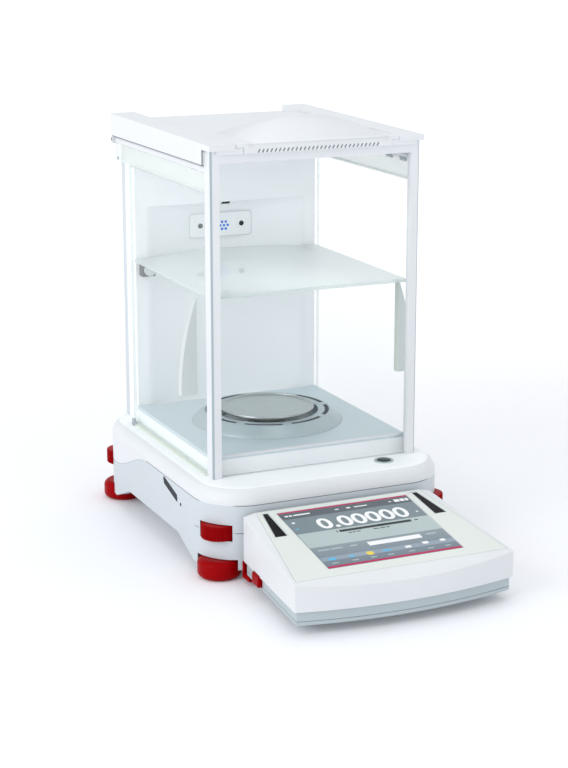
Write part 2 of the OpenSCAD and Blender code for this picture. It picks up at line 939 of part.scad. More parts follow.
module pan_stem() {
    color("silver") translate([0, y_pan, 0]) {
        tube_z(pan_stem_r, stem_low, z_pan_low - pan_boss_h);
        tube_z(pan_pin_r, z_pan_low - pan_boss_h - cut, z_pan_low - pan_pin_short);
    }
}

module weighing_pan() {
    color("tan") translate([0, y_pan, z_pan_low]) difference() {
        union() {
            rotate_extrude($fn = smooth) polygon([
                [0, 0], [pan_r - pan_edge, 0], [pan_r, pan_t - pan_side], [pan_r, pan_t],
                [pan_r - pan_rim, pan_t], [pan_r - pan_rim - pan_rim_slope, pan_t - pan_dish],
                [0, pan_t - pan_dish]
            ]);
            tube_z(pan_pin_r + pan_boss_wall, -pan_boss_h, cut);
        }
        tube_z(pan_pin_r + fit, -pan_boss_h - cut, clear - pan_pin_short);
    }
}

module calibration_weight() {
    color("lightgray") translate([0, y_weight, z_weight]) rod_x(weight_r, -weight_l / 2, weight_l / 2);
}

module calibration_lifter() {
    z_top = z_lift + lift_t;
    color("ivory") difference() {
        union() {
            box(guide_x - lift_end, drive_x + lift_end, y_weight - lift_half, y_weight + lift_half,
                z_lift, z_top);
            box(drive_x - nut_half, drive_x + nut_half, y_weight - nut_half, y_weight + nut_half,
                z_lift - nut_h, z_top);
        }
        box(-weight_l / 2 - cut, weight_l / 2 + cut, y_weight - cradle_half, y_weight + cradle_half,
            z_lift - cut, z_top + cut);
        translate([drive_x, y_weight, 0]) tube_z(drive_r + fit, z_inside, z_deck);
        translate([guide_x, y_weight, 0]) tube_z(guide_r + fit, z_inside, z_deck);
    }
}

module lifter_screw() {
    color("goldenrod") translate([drive_x, y_weight, 0])
        tube_z(drive_r, z_inside + motor_h + drive_end, drive_top);
}

module lifter_motor() {
    ear = motor_r + motor_ear;
    color("dimgray") translate([drive_x, y_weight, 0]) {
        tube_z(motor_r, z_inside, z_inside + motor_h);
        box(-ear, ear, -motor_ear_half, motor_ear_half, z_inside, z_inside + motor_ear_t);
    }
}

// Chamber floor

module floor_plate() {
    color("lightslategray") difference() {
        box(-plinth_half, plinth_half, y_post + clear, y_wall, z_plinth, z_floor);
        translate([0, y_pan, 0]) tube_z(ring_in, z_plinth - cut, z_floor + cut);
    }
}

module draught_ring() {
    color("silver") translate([0, y_pan, z_floor]) difference() {
        rotate_extrude($fn = smooth) polygon([
            [ring_in, 0], [ring_in + ring_w, 0], [ring_in + ring_w - ring_toe, ring_h * ring_skirt],
            [ring_in + ring_w * ring_top, ring_h], [ring_in, ring_h]
        ]);
        for (i = [0 : ring_slots - 1])
            rotate([0, 0, i * 360 / ring_slots]) rotate_extrude(angle = slot_share / ring_slots, $fn = smooth)
                translate([ring_in + slot_in, -cut]) square([slot_w, ring_h + 2 * cut]);
    }
}

// Shield frame

// Angle shape: a leg in front of the pane and a leg along the side
module post_outline() {
    x_out = shield_w / 2;
    polygon([
        [x_out, y_post], [x_out, y_shield + post_bevel], [x_out - post_bevel, y_shield],
        [post_in, y_shield], [post_in, pane_y - fit], [leg_in, pane_y - fit], [leg_in, y_post]
    ]);
}

module front_frame() {
    color("whitesmoke") difference() {
        union() {
            both_sides() translate([0, 0, z_deck]) linear_extrude(shield_h) post_outline();
            box(-leg_in - cut, leg_in + cut, y_shield, y_post, z_beam - beam_h, z_beam);
        }
        box(-leg_in, leg_in, pane_y - fit, pane_y + glass_t + fit, z_deck, z_beam - beam_h + pane_seat);
        both_sides() translate([hinge_x, 0, z_hinge])
            rod_y(hinge_pin_r + fit, y_post - pin_deep - clear, y_post + cut);
    }
}

module front_glass() {
    half = leg_in - fit;
    color("paleturquoise", 0.4)
        box(-half, half, pane_y, pane_y + glass_t, z_deck, z_beam - beam_h + pane_seat - fit);
}

module rear_wall() {
    color("white") difference() {
        box(-column_half, column_half, y_wall, skin_y, z_deck, z_post);
        hollow_column(hollow_r, z_plinth, z_hollow);
        difference() {
            box(wall - column_half, column_half - wall, y_wall + wall, skin_y + cut,
                z_deck + wall, z_post - wall);
            hollow_column(hollow_r + wall, z_deck, z_hollow + wall);
        }
        both_sides() translate([ion_nozzle_x, 0, z_ion]) rod_y(nozzle_r + fit, y_wall, skin_y + cut);
    }
}

module rear_cover() {
    color("gainsboro") difference() {
        box(-column_half, column_half, skin_y, y_column, z_deck, z_post);
        box(wall - column_half, column_half - wall, skin_y - cut, y_column - wall,
            z_deck + wall, z_post - wall);
        for (i = [0 : vent_count - 1]) translate([(i - (vent_count - 1) / 2) * vent_pitch, 0, 0])
            box(-vent_w / 2, vent_w / 2, y_column - wall - cut, y_column + cut,
                z_post - vent_drop - vent_h, z_post - vent_drop);
    }
}

module ionizer_plate() {
    color("white") difference() {
        intersection() {
            box(-ion_w / 2, ion_w / 2, ion_y, skin_y, z_ion - ion_h / 2, z_ion + ion_h / 2);
            hollow_column(hollow_r - fit, z_ion - ion_h, z_ion + ion_h);
        }
        both_sides() translate([ion_nozzle_x, 0, z_ion]) rod_y(nozzle_r + fit, ion_y - cut, skin_y + cut);
    }
}

module ionizer_nozzles() {
    color("darkgray") both_sides() translate([ion_nozzle_x, 0, z_ion]) difference() {
        union() {
            rod_y(nozzle_r, ion_y - nozzle_proud, skin_y);
            rod_y(nozzle_r + nozzle_rim, ion_y - nozzle_proud, ion_y);
        }
        rod_y(ion_bore_r, ion_y - nozzle_proud - cut, skin_y - nozzle_end);
    }
}

// Lid and sliding top door

module lid_side() {
    side_view(rail_in, lid_half) polygon([
        [y_lid_front, z_post], [y_lid, z_post],
        [y_lid, z_post + rail_rear_h], [y_lid_front, z_post + rail_front_h]
    ]);
    box(lid_half - skirt_t, lid_half, y_post + clear, y_lid, z_skirt, z_post + cut);
    box(rail_in - ledge_w, rail_in + cut, y_post, y_lid, z_post, z_post + ledge_t);
    box(hinge_x - ear_half, lid_half, y_lid - ear_t, y_lid, z_hinge - ear_drop, z_post + cut);
}

module lid_frame() {
    color("whitesmoke") difference() {
        union() {
            both_sides() lid_side();
            box(-rail_in - cut, rail_in + cut, y_wall, y_lid, z_post, z_post + ledge_t);
        }
        both_sides() translate([hinge_x, 0, z_hinge])
            rod_y(hinge_pin_r + fit, y_lid - ear_t - cut, y_lid - ear_t + pin_deep + clear);
    }
}

module grip_dome() {
    z_low = z_top_door + top_door_t;
    arc_r = (pow(grip_half_w, 2) + pow(grip_h, 2)) / (2 * grip_h);
    intersection() {
        translate([0, y_lid_front, z_low + grip_h - arc_r]) rod_y(arc_r, 0, grip_len);
        translate([0, y_lid_front, 0]) side_view(-grip_half_w, grip_half_w) polygon([
            [0, z_low - grip_root], [0, z_low], [grip_ridge, z_low + grip_h],
            [grip_ridge + grip_flat, z_low + grip_h], [grip_len, z_low], [grip_len, z_low - grip_root]
        ]);
    }
}

module top_door() {
    half = rail_in - clear;
    z_lip = z_beam + clear;
    color("white") difference() {
        union() {
            box(-half, half, y_lid_front, y_top_door, z_top_door, z_top_door + top_door_t);
            box(-lip_half, lip_half, y_lid_front, y_post, z_lip, z_top_door + cut);
            grip_dome();
        }
        for (i = [0 : grip_ribs - 1])
            translate([(i - (grip_ribs - 1) / 2) * rib_pitch, y_lid_front, z_lip + rib_rise])
                rotate([0, rib_lean, 0]) cube(rib_cut, center = true);
    }
}

// Side doors, drawn for the right-hand side

module door_rail() {
    translate([hinge_x, 0, z_hinge]) {
        rod_y(hinge_r, rail_y0, rail_y1);
        rod_y(hinge_pin_r, y_post - pin_deep, rail_y0 + cut);
        rod_y(hinge_pin_r, rail_y1 - cut, y_lid - ear_t + pin_deep);
    }
    box(glass_in, glass_out, rail_y0, rail_y1, z_rail_low, z_hinge);
}

module upper_glass() {
    groove = tongue_w / 2 + tongue_play;
    difference() {
        box(glass_in, glass_out, rail_y0, rail_y1, z_strip, z_rail_low);
        box(glass_mid - groove, glass_mid + groove, rail_y0 - cut, rail_y1 + cut,
            z_strip - cut, z_strip + tongue_h + tongue_play);
    }
}

module door_glass() {
    box(glass_in, glass_out, rail_y0, rail_y0 + door_len, z_deck + door_lift, z_door_top);
    box(glass_mid - tongue_w / 2, glass_mid + tongue_w / 2, rail_y0, rail_y0 + door_len,
        z_door_top - cut, z_strip + tongue_h);
}

module door_handle() {
    translate([glass_out, rail_y0 + handle_set + handle_t, z_deck + handle_lift]) rotate([90, 0, 0])
        linear_extrude(handle_t) intersection() {
            square([handle_reach, handle_h]);
            translate([handle_reach - handle_r, 0]) circle(r = handle_r, $fn = arc_smooth);
        }
}

module left_door_rail() { color("white") side(-1) door_rail(); }
module left_upper_glass() { color("honeydew", 0.5) side(-1) upper_glass(); }
module left_door_glass() { color("paleturquoise", 0.4) side(-1) door_glass(); }
module left_door_handle() { color("lightgray") side(-1) door_handle(); }
module right_door_rail() { color("white") side(1) door_rail(); }
module right_upper_glass() { color("honeydew", 0.5) side(1) upper_glass(); }
module right_door_glass() { color("paleturquoise", 0.4) side(1) door_glass(); }
module right_door_handle() { color("lightgray") side(1) door_handle(); }

// Shelf and its clamps

module shelf() {
    rear_half = hollow_w / 2 - shelf_side;
    color("azure", 0.7) translate([0, 0, z_shelf - shelf_t]) linear_extrude(shelf_t) {
        translate([-plinth_half, y_post + clear]) square([2 * plinth_half, y_wall - y_post - 2 * clear]);
        intersection() {
            translate([0, hollow_y]) circle(r = hollow_r - clear, $fn = arc_smooth);
            translate([-rear_half, y_wall - cut]) square([2 * rear_half, wall_hollow + cut]);
        }
    }
}

module shelf_brackets() {
    color("darkgray") both_sides() translate([clamp_x, 0, z_clamp]) difference() {
        box(-bracket_half, bracket_half, y_bracket, y_wall, -bracket_h / 2, bracket_h / 2);
        rod_y(clamp_screw_r + fit, y_bracket - cut, y_wall - cut);
    }
}

module clamp_knob(sx) {
    color("lightgray") translate([sx * clamp_x, 0, z_clamp]) {
        difference() {
            rod_y(knob_r, y_knob, y_knob + knob_t);
            for (i = [0 : knob_grips - 1]) rotate([0, i * 360 / knob_grips, 0])
                translate([knob_r, 0, 0]) rod_y(knob_grip_r, y_knob - cut, y_bracket);
        }
        rod_y(clamp_screw_r, y_knob + knob_t - cut, y_wall - clamp_screw_end);
    }
}

module left_clamp_knob() { clamp_knob(-1); }
module right_clamp_knob() { clamp_knob(1); }

// Terminal

module on_slope() {
    translate([0, y_term, term_rear_h]) rotate([term_tilt, 0, 0]) children();
}

module on_screen() {
    on_slope() translate([0, -screen_back - screen_l / 2, 0]) children();
}

module terminal_block(inset, z0) {
    difference() {
        translate([0, 0, z0]) linear_extrude(term_rear_h) terminal_outline(inset);
        on_slope() translate([-base_w, -2 * term_d, -inset]) cube([2 * base_w, 4 * term_d, 2 * term_rear_h]);
        terminal_shoulders(inset);
    }
}

// Falls away from the flat of the top, on both sides and along the front
module terminal_shoulders(inset) {
    both_sides() on_slope() translate([crease_half, 0, -inset]) rotate([0, 0, crease_turn])
        rotate([0, shoulder_fall, 0]) translate([0, -2 * term_d, 0]) cube([base_w, 4 * term_d, term_rear_h]);
    on_slope() translate([-base_w, -crease_front, -inset]) rotate([brow_fall, 0, 0])
        translate([0, -term_d, 0]) cube([2 * base_w, term_d, term_rear_h]);
}

module sensor_outline(inset) {
    x_in = screen_w / 2 + eye_gap;
    polygon([
        [x_in + inset, -eye_back - inset], [x_in + eye_rear_w - inset, -eye_back - inset],
        [x_in + eye_shift + eye_front_w - inset, -eye_back - eye_l + inset],
        [x_in + eye_shift + inset, -eye_back - eye_l + inset]
    ]);
}

module on_button(sx) {
    side(sx) translate([term_half(button_y), button_y, button_z]) rotate([0, 0, term_taper]) children();
}

module button_bays() {
    for (sx = [-1, 1]) on_button(sx)
        box(-button_deep - button_travel - clear, button_deep, -button_l / 2 - clear, button_l / 2 + clear,
            -clear, button_h + clear);
}

module terminal_top() {
    color("white") difference() {
        terminal_block(0, z_term_seam);
        terminal_block(wall, z_term_seam - cut);
        on_screen() cube([screen_w, screen_l, 4 * wall], center = true);
        both_sides() on_slope() translate([0, 0, -eye_t]) linear_extrude(eye_t + cut) sensor_outline(0);
        button_bays();
    }
}

module terminal_bottom() {
    color("gainsboro") {
        difference() {
            translate([0, 0, term_lift]) linear_extrude(term_low_h) terminal_outline(term_low_inset);
            translate([0, 0, term_lift + term_floor]) linear_extrude(term_low_h)
                terminal_outline(term_low_inset + wall);
            button_bays();
        }
        for (sx = [-1, 1], back = prop_back)
            translate([sx * (screen_w / 2 - prop_in), y_term - back, 0])
                tube_z(prop_r, term_lift + cut, prop_top(back));
    }
}

module touch_glass() {
    color("darkslategray") on_screen() translate([0, 0, -screen_t / 2])
        cube([screen_w - 2 * fit, screen_l - 2 * fit, screen_t], center = true);
}

module display_module() {
    color("dimgray") on_screen() {
        difference() {
            translate([0, 0, -wall - module_t / 2])
                cube([screen_w + 2 * module_side, screen_l + module_side, module_t], center = true);
            both_sides() translate([screen_w / 2, 0, -wall - module_t]) cube(module_notch, center = true);
        }
        translate([0, 0, -(wall + screen_t) / 2])
            cube([screen_w - 2 * panel_edge, screen_l - 2 * panel_edge, wall - screen_t], center = true);
    }
}

module terminal_sensors() {
    color("black") both_sides() on_slope()
        translate([0, 0, -eye_t]) linear_extrude(eye_t) sensor_outline(fit);
}

module terminal_feet() {
    color("dimgray") for (sx = [-1, 1], y = pad_y)
        translate([sx * (term_half(y) - pad_in), y, 0]) tube_z(pad_r, 0, term_lift);
}

module release_button(sx) {
    color("crimson") on_button(sx) box(-button_deep, button_proud, -button_l / 2, button_l / 2, 0, button_h);
}

module left_release_button() { release_button(-1); }
module right_release_button() { release_button(1); }

module dock_hooks() {
    color("crimson") both_sides() {
        box(hook_x - hook_half, hook_x + hook_half, y_front - hook_back, y_front,
            z_hook - hook_t, z_hook + hook_rise);
        box(hook_x - hook_half, hook_x + hook_half, y_term - hook_reach, y_front - cut,
            z_hook - hook_t, z_hook);
    }
}

base_tray();
base_shell();
top_cover();
base_screws();
side_sensor_windows();
level_ring();
level_bubble();
power_inlet();
data_sockets();
main_board();
foot_front_left();
foot_front_right();
foot_rear_left();
foot_rear_right();
wheel_front_left();
wheel_front_right();
wheel_rear_left();
wheel_rear_right();
cell_block();
load_lever();
force_coil();
magnet_pot();
position_sensor();
pan_stem();
weighing_pan();
calibration_weight();
calibration_lifter();
lifter_screw();
lifter_motor();
floor_plate();
draught_ring();
front_frame();
front_glass();
rear_wall();
rear_cover();
ionizer_plate();
ionizer_nozzles();
lid_frame();
top_door();
left_door_rail();
left_upper_glass();
left_door_glass();
left_door_handle();
right_door_rail();
right_upper_glass();
right_door_glass();
right_door_handle();
shelf();
shelf_brackets();
left_clamp_knob();
right_clamp_knob();
terminal_top();
terminal_bottom();
touch_glass();
display_module();
terminal_sensors();
terminal_feet();
left_release_button();
right_release_button();
dock_hooks();
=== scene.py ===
"""Looks of a semi-micro balance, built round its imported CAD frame."""

import json
import math

import bmesh
import bpy
from bpy.props import FloatProperty, FloatVectorProperty, IntProperty, PointerProperty
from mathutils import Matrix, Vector
from mathutils.bvhtree import BVHTree

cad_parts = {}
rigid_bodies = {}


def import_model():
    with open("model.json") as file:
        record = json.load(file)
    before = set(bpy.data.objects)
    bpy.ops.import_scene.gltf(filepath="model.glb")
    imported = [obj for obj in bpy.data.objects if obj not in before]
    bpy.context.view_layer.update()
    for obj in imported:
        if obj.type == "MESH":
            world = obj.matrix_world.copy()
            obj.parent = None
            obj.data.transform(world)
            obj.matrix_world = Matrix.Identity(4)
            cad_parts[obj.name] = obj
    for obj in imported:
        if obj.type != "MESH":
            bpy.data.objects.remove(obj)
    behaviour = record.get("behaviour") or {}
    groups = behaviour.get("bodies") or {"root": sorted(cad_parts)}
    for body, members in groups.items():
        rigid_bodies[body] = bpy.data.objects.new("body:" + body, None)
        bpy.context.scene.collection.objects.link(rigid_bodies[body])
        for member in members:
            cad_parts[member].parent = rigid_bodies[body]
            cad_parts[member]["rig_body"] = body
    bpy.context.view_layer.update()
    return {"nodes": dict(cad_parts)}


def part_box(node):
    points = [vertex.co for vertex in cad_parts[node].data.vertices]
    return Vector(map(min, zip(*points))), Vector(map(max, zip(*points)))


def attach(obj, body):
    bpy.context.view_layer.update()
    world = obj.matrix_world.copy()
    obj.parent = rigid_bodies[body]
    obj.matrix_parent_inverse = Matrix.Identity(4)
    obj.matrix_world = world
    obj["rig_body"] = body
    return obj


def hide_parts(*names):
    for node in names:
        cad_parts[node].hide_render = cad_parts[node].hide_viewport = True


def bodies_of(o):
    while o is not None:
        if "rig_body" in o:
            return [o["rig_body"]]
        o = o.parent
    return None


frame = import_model()

bl_info = {
    "name": "Semi-micro balance",
    "version": (1, 0, 0),
    "blender": (4, 5, 0),
    "location": "View3D > Sidebar > Balance",
    "description": "Builds the visible pieces of a semi-micro balance round its CAD frame",
    "category": "Object",
}

MM = 0.001
WELD = 0.002 * MM  # distance under which points of a CAD mesh are one
FLAT = 0.4  # degrees under which its faces are one
SHARP = 28.0  # degrees over which an edge is rounded
SMOOTH = 32.0  # degrees over which an edge is shaded as sharp
SIDES = {"left": -1, "right": 1}
CORNERS = ("front_left", "front_right", "rear_left", "rear_right")


# Properties

def length(name, description, millimetres):
    """A length in metres, with its default given in millimetres."""
    return FloatProperty(name=name, description=description, default=millimetres * MM, min=0.0,
                         precision=5, unit="LENGTH", subtype="DISTANCE")


def colour(name, description, default):
    """A colour in linear light."""
    return FloatVectorProperty(name=name, description=description, default=default, size=3,
                               min=0.0, max=1.0, subtype="COLOR")


def place(name, description, millimetres):
    """A point in metres, with its default given in millimetres."""
    return FloatVectorProperty(name=name, description=description, size=3, unit="LENGTH",
                               default=[value * MM for value in millimetres], subtype="XYZ")


def strength(name, description, default, unit="NONE"):
    """A strength or power of light."""
    return FloatProperty(name=name, description=description, default=default, min=0.0, unit=unit)


class BalanceColours(bpy.types.PropertyGroup):
    """Colours of the finishes."""

    white: colour("White housing", "Upper housings, shield frame and lid", (0.745, 0.765, 0.785))
    grey: colour("Grey housing", "Lower housings and rear cover", (0.60, 0.645, 0.68))
    # Painted light: a lighter copy of the white plastic for the rear wall, the ionizer and the plinth
    # inside the chamber, lifting the shade under the lid.
    wall: colour("Chamber wall", "Wall behind the pan", (0.93, 0.96, 0.98))
    # Painted shade: the darker colour of the posts' slanted corners stands for the shade on them.
    trim: colour("Trim", "Slanted corners of the shield's posts", (0.34, 0.41, 0.44))
    cream: colour("Inlay", "Inlay of the terminal top", (0.74, 0.775, 0.735))
    red: colour("Red trim", "Feet, wheels, hooks and release buttons", (0.32, 0.0006, 0.002))
    pane: colour("Clear glass", "Front pane and doors", (0.78, 0.86, 0.85))
    strip: colour("Tinted glass", "Upper strips of the doors", (0.84, 0.89, 0.85))
    shelf: colour("Shelf glass", "Shelf in the chamber", (0.90, 0.955, 0.945))
    glass_edge: colour("Glass edge", "Cut edges of the glass", (0.70, 0.79, 0.77))
    # Own colour of the door sills; on the roots of the handles it is painted light over their shade.
    root: colour("Door sill", "Sills of the doors and roots of the handles", (0.76, 0.81, 0.74))
    floor_metal: colour("Chamber floor", "Floor plate of the chamber", (0.66, 0.76, 0.79))
    bright_metal: colour("Bright metal", "Draught ring, level ring and sockets", (0.50, 0.59, 0.61))
    steel: colour("Steel", "Screws, stem, pan rim and magnet pot", (0.56, 0.56, 0.58))
    pan: colour("Pan steel", "Weighing pan", (0.52, 0.565, 0.55))
    cell: colour("Cell metal", "Cell block and lever", (0.70, 0.71, 0.73))
    brass: colour("Brass", "Lifter screw", (0.70, 0.50, 0.20))
    copper: colour("Copper", "Force coil", (0.72, 0.30, 0.14))
    board: colour("Board", "Circuit boards", (0.02, 0.16, 0.07))
    black: colour("Black plastic", "Inlet, motor, brackets and display module", (0.022, 0.023, 0.026))
    # Own colour of the sensor windows; on the side dimples, the nozzle holes and the rear wall's slot
    # it is painted shade standing for the dark of a hole.
    window: colour("Dark window", "Sensor windows and small holes", (0.010, 0.009, 0.010))
    # Painted shadow inside the wheel pockets, the vents and the ring's slots; also the own dark of the
    # sensor windows' faces.
    shadow: colour("Slots", "Insides of slots, vents and wheel pockets", (0.055, 0.060, 0.068))
    handle: colour("Handle plastic", "Door handles and clamp knobs", (0.60, 0.65, 0.65))
    rubber: colour("Rubber", "Feet of the terminal", (0.035, 0.035, 0.037))
    bubble: colour("Level glass", "Filling of the level", (0.030, 0.045, 0.050))
    dots: colour("Blue dots", "Dots of the ionizer plate", (0.03, 0.20, 0.78))
    # Painted shade: a darker copy of the grey for the terminal's lower housing, standing for the shade
    # under the upper housing's overhang.
    under: colour("Terminal underside", "Lower housing of the terminal", (0.46, 0.53, 0.55))
    # Own colour of the seams, the inlay line, clips and stops; between the top door's ribs and in the
    # thin ring round the draught ring's foot it is painted shade.
    seam: colour("Seam", "Seam of the skirt, line of the inlay, clips, stops", (0.40, 0.45, 0.47))
    line: colour("Fine line", "Gaps of the base, the terminal and the lid", (0.20, 0.23, 0.25))
    screen_red: colour("Screen red", "Lines at the screen's ends", (0.50, 0.02, 0.10))
    screen_dark: colour("Screen dark", "Bar and glass of the screen", (0.020, 0.026, 0.030))
    screen_head: colour("Screen head", "Header of the screen", (0.10, 0.125, 0.145))
    screen_blue: colour("Screen blue", "Value band of the screen", (0.20, 0.255, 0.285))
    screen_navy: colour("Screen navy", "Lower end of the key band", (0.06, 0.085, 0.15))
    screen_glow: colour("Screen glow", "Light strip of the key band", (0.30, 0.37, 0.45))
    screen_pale: colour("Screen pale", "Middle band of the screen", (0.47, 0.56, 0.57))
    screen_white: colour("Screen white", "Digits and fields of the screen", (0.92, 0.94, 0.96))
    screen_cyan: colour("Screen cyan", "Cyan keys of the screen", (0.12, 0.50, 0.78))
    screen_yellow: colour("Screen yellow", "Yellow key of the screen", (0.85, 0.68, 0.10))


class BalanceSizes(bpy.types.PropertyGroup):
    """Sizes of the small forms that the CAD frame leaves out."""

    housing_edge: length("Housing edge", "Rounding of housing edges", 0.8)
    terminal_edge: length("Terminal edge", "Rounding of the terminal's edges", 1.5)
    frame_edge: length("Frame edge", "Rounding of the shield's edges", 0.6)
    metal_edge: length("Metal edge", "Rounding of metal edges", 0.35)
    glass_edge: length("Glass edge", "Rounding of glass edges", 0.3)
    foot_edge: length("Foot edge", "Rounding of the feet", 1.6)
    base_corner: length("Base corner", "Radius of the base's corners", 40.0)
    base_seam: length("Base seam", "Height of the gaps between the base's housings", 1.2)
    seam_in: length("Seam depth", "From the base's side to the bottom of a gap", 0.1)
    seam_edge: length("Seam edge", "Rounding of the housings along a gap", 0.7)
    pocket_r: length("Wheel pocket", "Radius of the wheels' pockets", 15.3)
    seam_w: length("Lid seam", "Width of the gap round the lid's skirts", 0.6)
    slot_edge: length("Slot edge", "Rounding of the draught ring's edges", 0.3)
    line_w: length("Line", "Width of the fine line round the inlay", 0.4)
    layer_t: length("Screen layer", "Thickness of a layer of the screen", 0.03)
    lip_r: length("Floor lip", "Radius of the lips of the chamber floor", 1.6)
    sill_out: length("Sill width", "From a door's glass to the edge of its sill", 3.2)
    sill_h: length("Sill height", "Height of a door's sill", 1.0)
    window_y: length("Window place", "Middle of a sensor window's face, from the origin", 23.7)
    window_z: length("Window level", "Middle of a sensor window's face, from the floor", 53.2)
    window_l: length("Window length", "Length of a sensor window's face", 30.0)
    window_h: length("Window height", "Height of a sensor window's face", 6.2)
    window_slope: FloatProperty(name="Window slope", description="Slope of a sensor window",
                                default=math.radians(14.5), subtype="ANGLE", unit="ROTATION")
    skirt_start: length("Skirt start", "Where the cover's lower edge begins to dip", 80.0)
    skirt_drop: length("Skirt drop", "How far the cover's lower edge dips at the rear column", 20.8)
    pan_roll: length("Pan rim", "Radius of the pan's rolled rim", 0.7)
    lens_h: length("Lens", "Height of the level's lens", 1.6)
    dimple_r: length("Dimple", "Radius of the small holes in the base's sides", 1.6)
    clip_t: length("Clip thickness", "Thickness of the strips' clips", 1.0)
    clip_l: length("Clip length", "Length of the strips' clips", 10.0)
    rib_depth: length("Rib depth", "Depth of the wheels' ribs", 0.7)
    rib_count: IntProperty(name="Ribs", description="Ribs round each levelling wheel", default=60,
                           min=12, max=120)


class BalanceStage(bpy.types.PropertyGroup):
    """Camera, floor and light."""

    eye: place("Camera", "Place of the camera", (-613.7, -1320.5, 515.5))
    aim: place("Aim", "Point that the camera looks at", (12.1, 60.15, 120.1))
    lens: FloatProperty(name="Lens", description="Focal length", default=86.55, min=10.0, unit="CAMERA")
    floor_size: length("Floor", "Half of the floor's side", 16000.0)
    floor: colour("Floor", "Colour of the floor", (0.90, 0.90, 0.93))
    floor_glow: strength("Floor glow", "Light that the floor gives back, far from the balance", 0.34)
    glow_near: length("Glow from", "Distance at which the floor begins to glow", 350.0)
    glow_far: length("Glow to", "Distance from which the floor glows fully", 1500.0)
    sky: colour("Sky", "Colour of the room's light", (0.95, 0.975, 1.0))
    sky_power: strength("Sky power", "Strength of the room's light", 0.85)
    key_power: strength("Key light", "Power from the left", 17.0, "POWER")
    top_power: strength("Top light", "Power from above", 8.0, "POWER")
    fill_power: strength("Fill light", "Power from the front", 1.5, "POWER")
    chamber_power: strength("Chamber light", "Power of the light under the lid", 0.03, "POWER")


# Materials

class Value:
    """A shader socket that takes part in Python arithmetic."""

    def __init__(self, paint, socket):
        self.paint, self.socket = paint, socket

    def __add__(self, other):
        return self.paint.math("ADD", self, other)

    def __radd__(self, other):
        return self.paint.math("ADD", other, self)

    def __sub__(self, other):
        return self.paint.math("SUBTRACT", self, other)

    def __rsub__(self, other):
        return self.paint.math("SUBTRACT", other, self)

    def __mul__(self, other):
        return self.paint.math("MULTIPLY", self, other)

    def __rmul__(self, other):
        return self.paint.math("MULTIPLY", other, self)

    def __pow__(self, other):
        return self.paint.math("POWER", self, other)


class Paint:
    """A material with one Principled shader, built from its nodes."""

    def __init__(self, name):
        self.material = bpy.data.materials.new(name)
        self.material.use_nodes = True
        self.tree = self.material.node_tree
        self.shader = next(n for n in self.tree.nodes if n.type == "BSDF_PRINCIPLED")

    def node(self, kind, settings=None, sockets=None, output=0):
        """Adds a node, sets it up, then fills its sockets, and returns one output."""
        made = self.tree.nodes.new(kind)
        for key, value in (settings or {}).items():
            setattr(made, key, value)
        for key, value in (sockets or {}).items():
            self.fill(made.inputs[key], value)
        return Value(self, made.outputs[output])

    def fill(self, socket, value):
        """Links a value to a socket, or sets the socket to a constant."""
        if isinstance(value, Value):
            self.tree.links.new(value.socket, socket)
        elif socket.type == "RGBA" and len(value) == 3:
            socket.default_value = (*value, 1.0)
        else:
            socket.default_value = value

    def feed(self, **sockets):
        """Fills the shader's own sockets, named with _ for a space."""
        for key, value in sockets.items():
            self.fill(self.shader.inputs[key.replace("_", " ")], value)
        return self

    def math(self, operation, *operands):
        """A Math node of values and numbers."""
        return self.node("ShaderNodeMath", {"operation": operation}, dict(enumerate(operands)))

    def mix(self, first, second, share):
        """A colour between two colours."""
        sockets = {0: share, 6: first, 7: second}
        return self.node("ShaderNodeMix", {"data_type": "RGBA"}, sockets, output=2)

    def spot(self):
        """The point on the piece, in metres."""
        return self.node("ShaderNodeTexCoord", output="Object")

    def noise(self, size, detail=2.0, stretch=(1.0, 1.0, 1.0)):
        """Noise with grains of a size in metres, stretched along the axes."""
        at = self.node("ShaderNodeVectorMath", {"operation": "DIVIDE"}, {0: self.spot(), 1: stretch})
        return self.node("ShaderNodeTexNoise", None,
                         {"Vector": at, "Scale": 1.0 / size, "Detail": detail})

    def bump(self, height, depth, strength):
        """A normal that follows a height, with a depth in metres."""
        return self.node("ShaderNodeBump", None,
                         {"Height": height, "Distance": depth, "Strength": strength})


def shade(tint, share):
    """A colour made darker or lighter."""
    return tuple(min(1.0, part * share) for part in tint)


def moulded(name, tint, rough=0.42, grain=0.35 * MM, depth=0.02 * MM, coat=0.0, gloss=0.4):
    """Moulded plastic: fine spark-eroded grain, faint clouding and handling marks."""
    paint = Paint(name)
    grit = paint.noise(grain, 3.0)
    cloud = paint.noise(60 * MM, 3.0)
    marks = paint.noise(4 * MM, 4.0, (1.0, 1.0, 3.0))
    paint.feed(Base_Color=paint.mix(shade(tint, 0.955), shade(tint, 1.03), cloud),
               Roughness=rough - 0.07 + cloud * 0.08 + marks * 0.06,
               Normal=paint.bump(grit, depth, 0.55), Coat_Weight=coat, Specular_IOR_Level=gloss)
    return paint.material


def glass(name, tint, clear, haze=0.012, gloss=0.5):
    """Thin pane: nearly all light passes, and its pale tint shows more at a slant as painted reflection
    beside the real gloss, with a trace of wiping.
    """
    paint = Paint(name)
    # Painted reflection: the pale tint grows more opaque at a slant.
    slant = paint.node("ShaderNodeLayerWeight", None, {"Blend": 0.5}, output="Facing") ** 4.0
    wiping = paint.noise(35 * MM, 4.0, (1.0, 1.0, 2.5))
    paint.feed(Base_Color=paint.mix(shade(tint, 0.97), tint, wiping),
               Alpha=(1.0 - clear) + slant * gloss + wiping * haze,
               Roughness=0.03 + wiping * 0.04)
    return paint.material


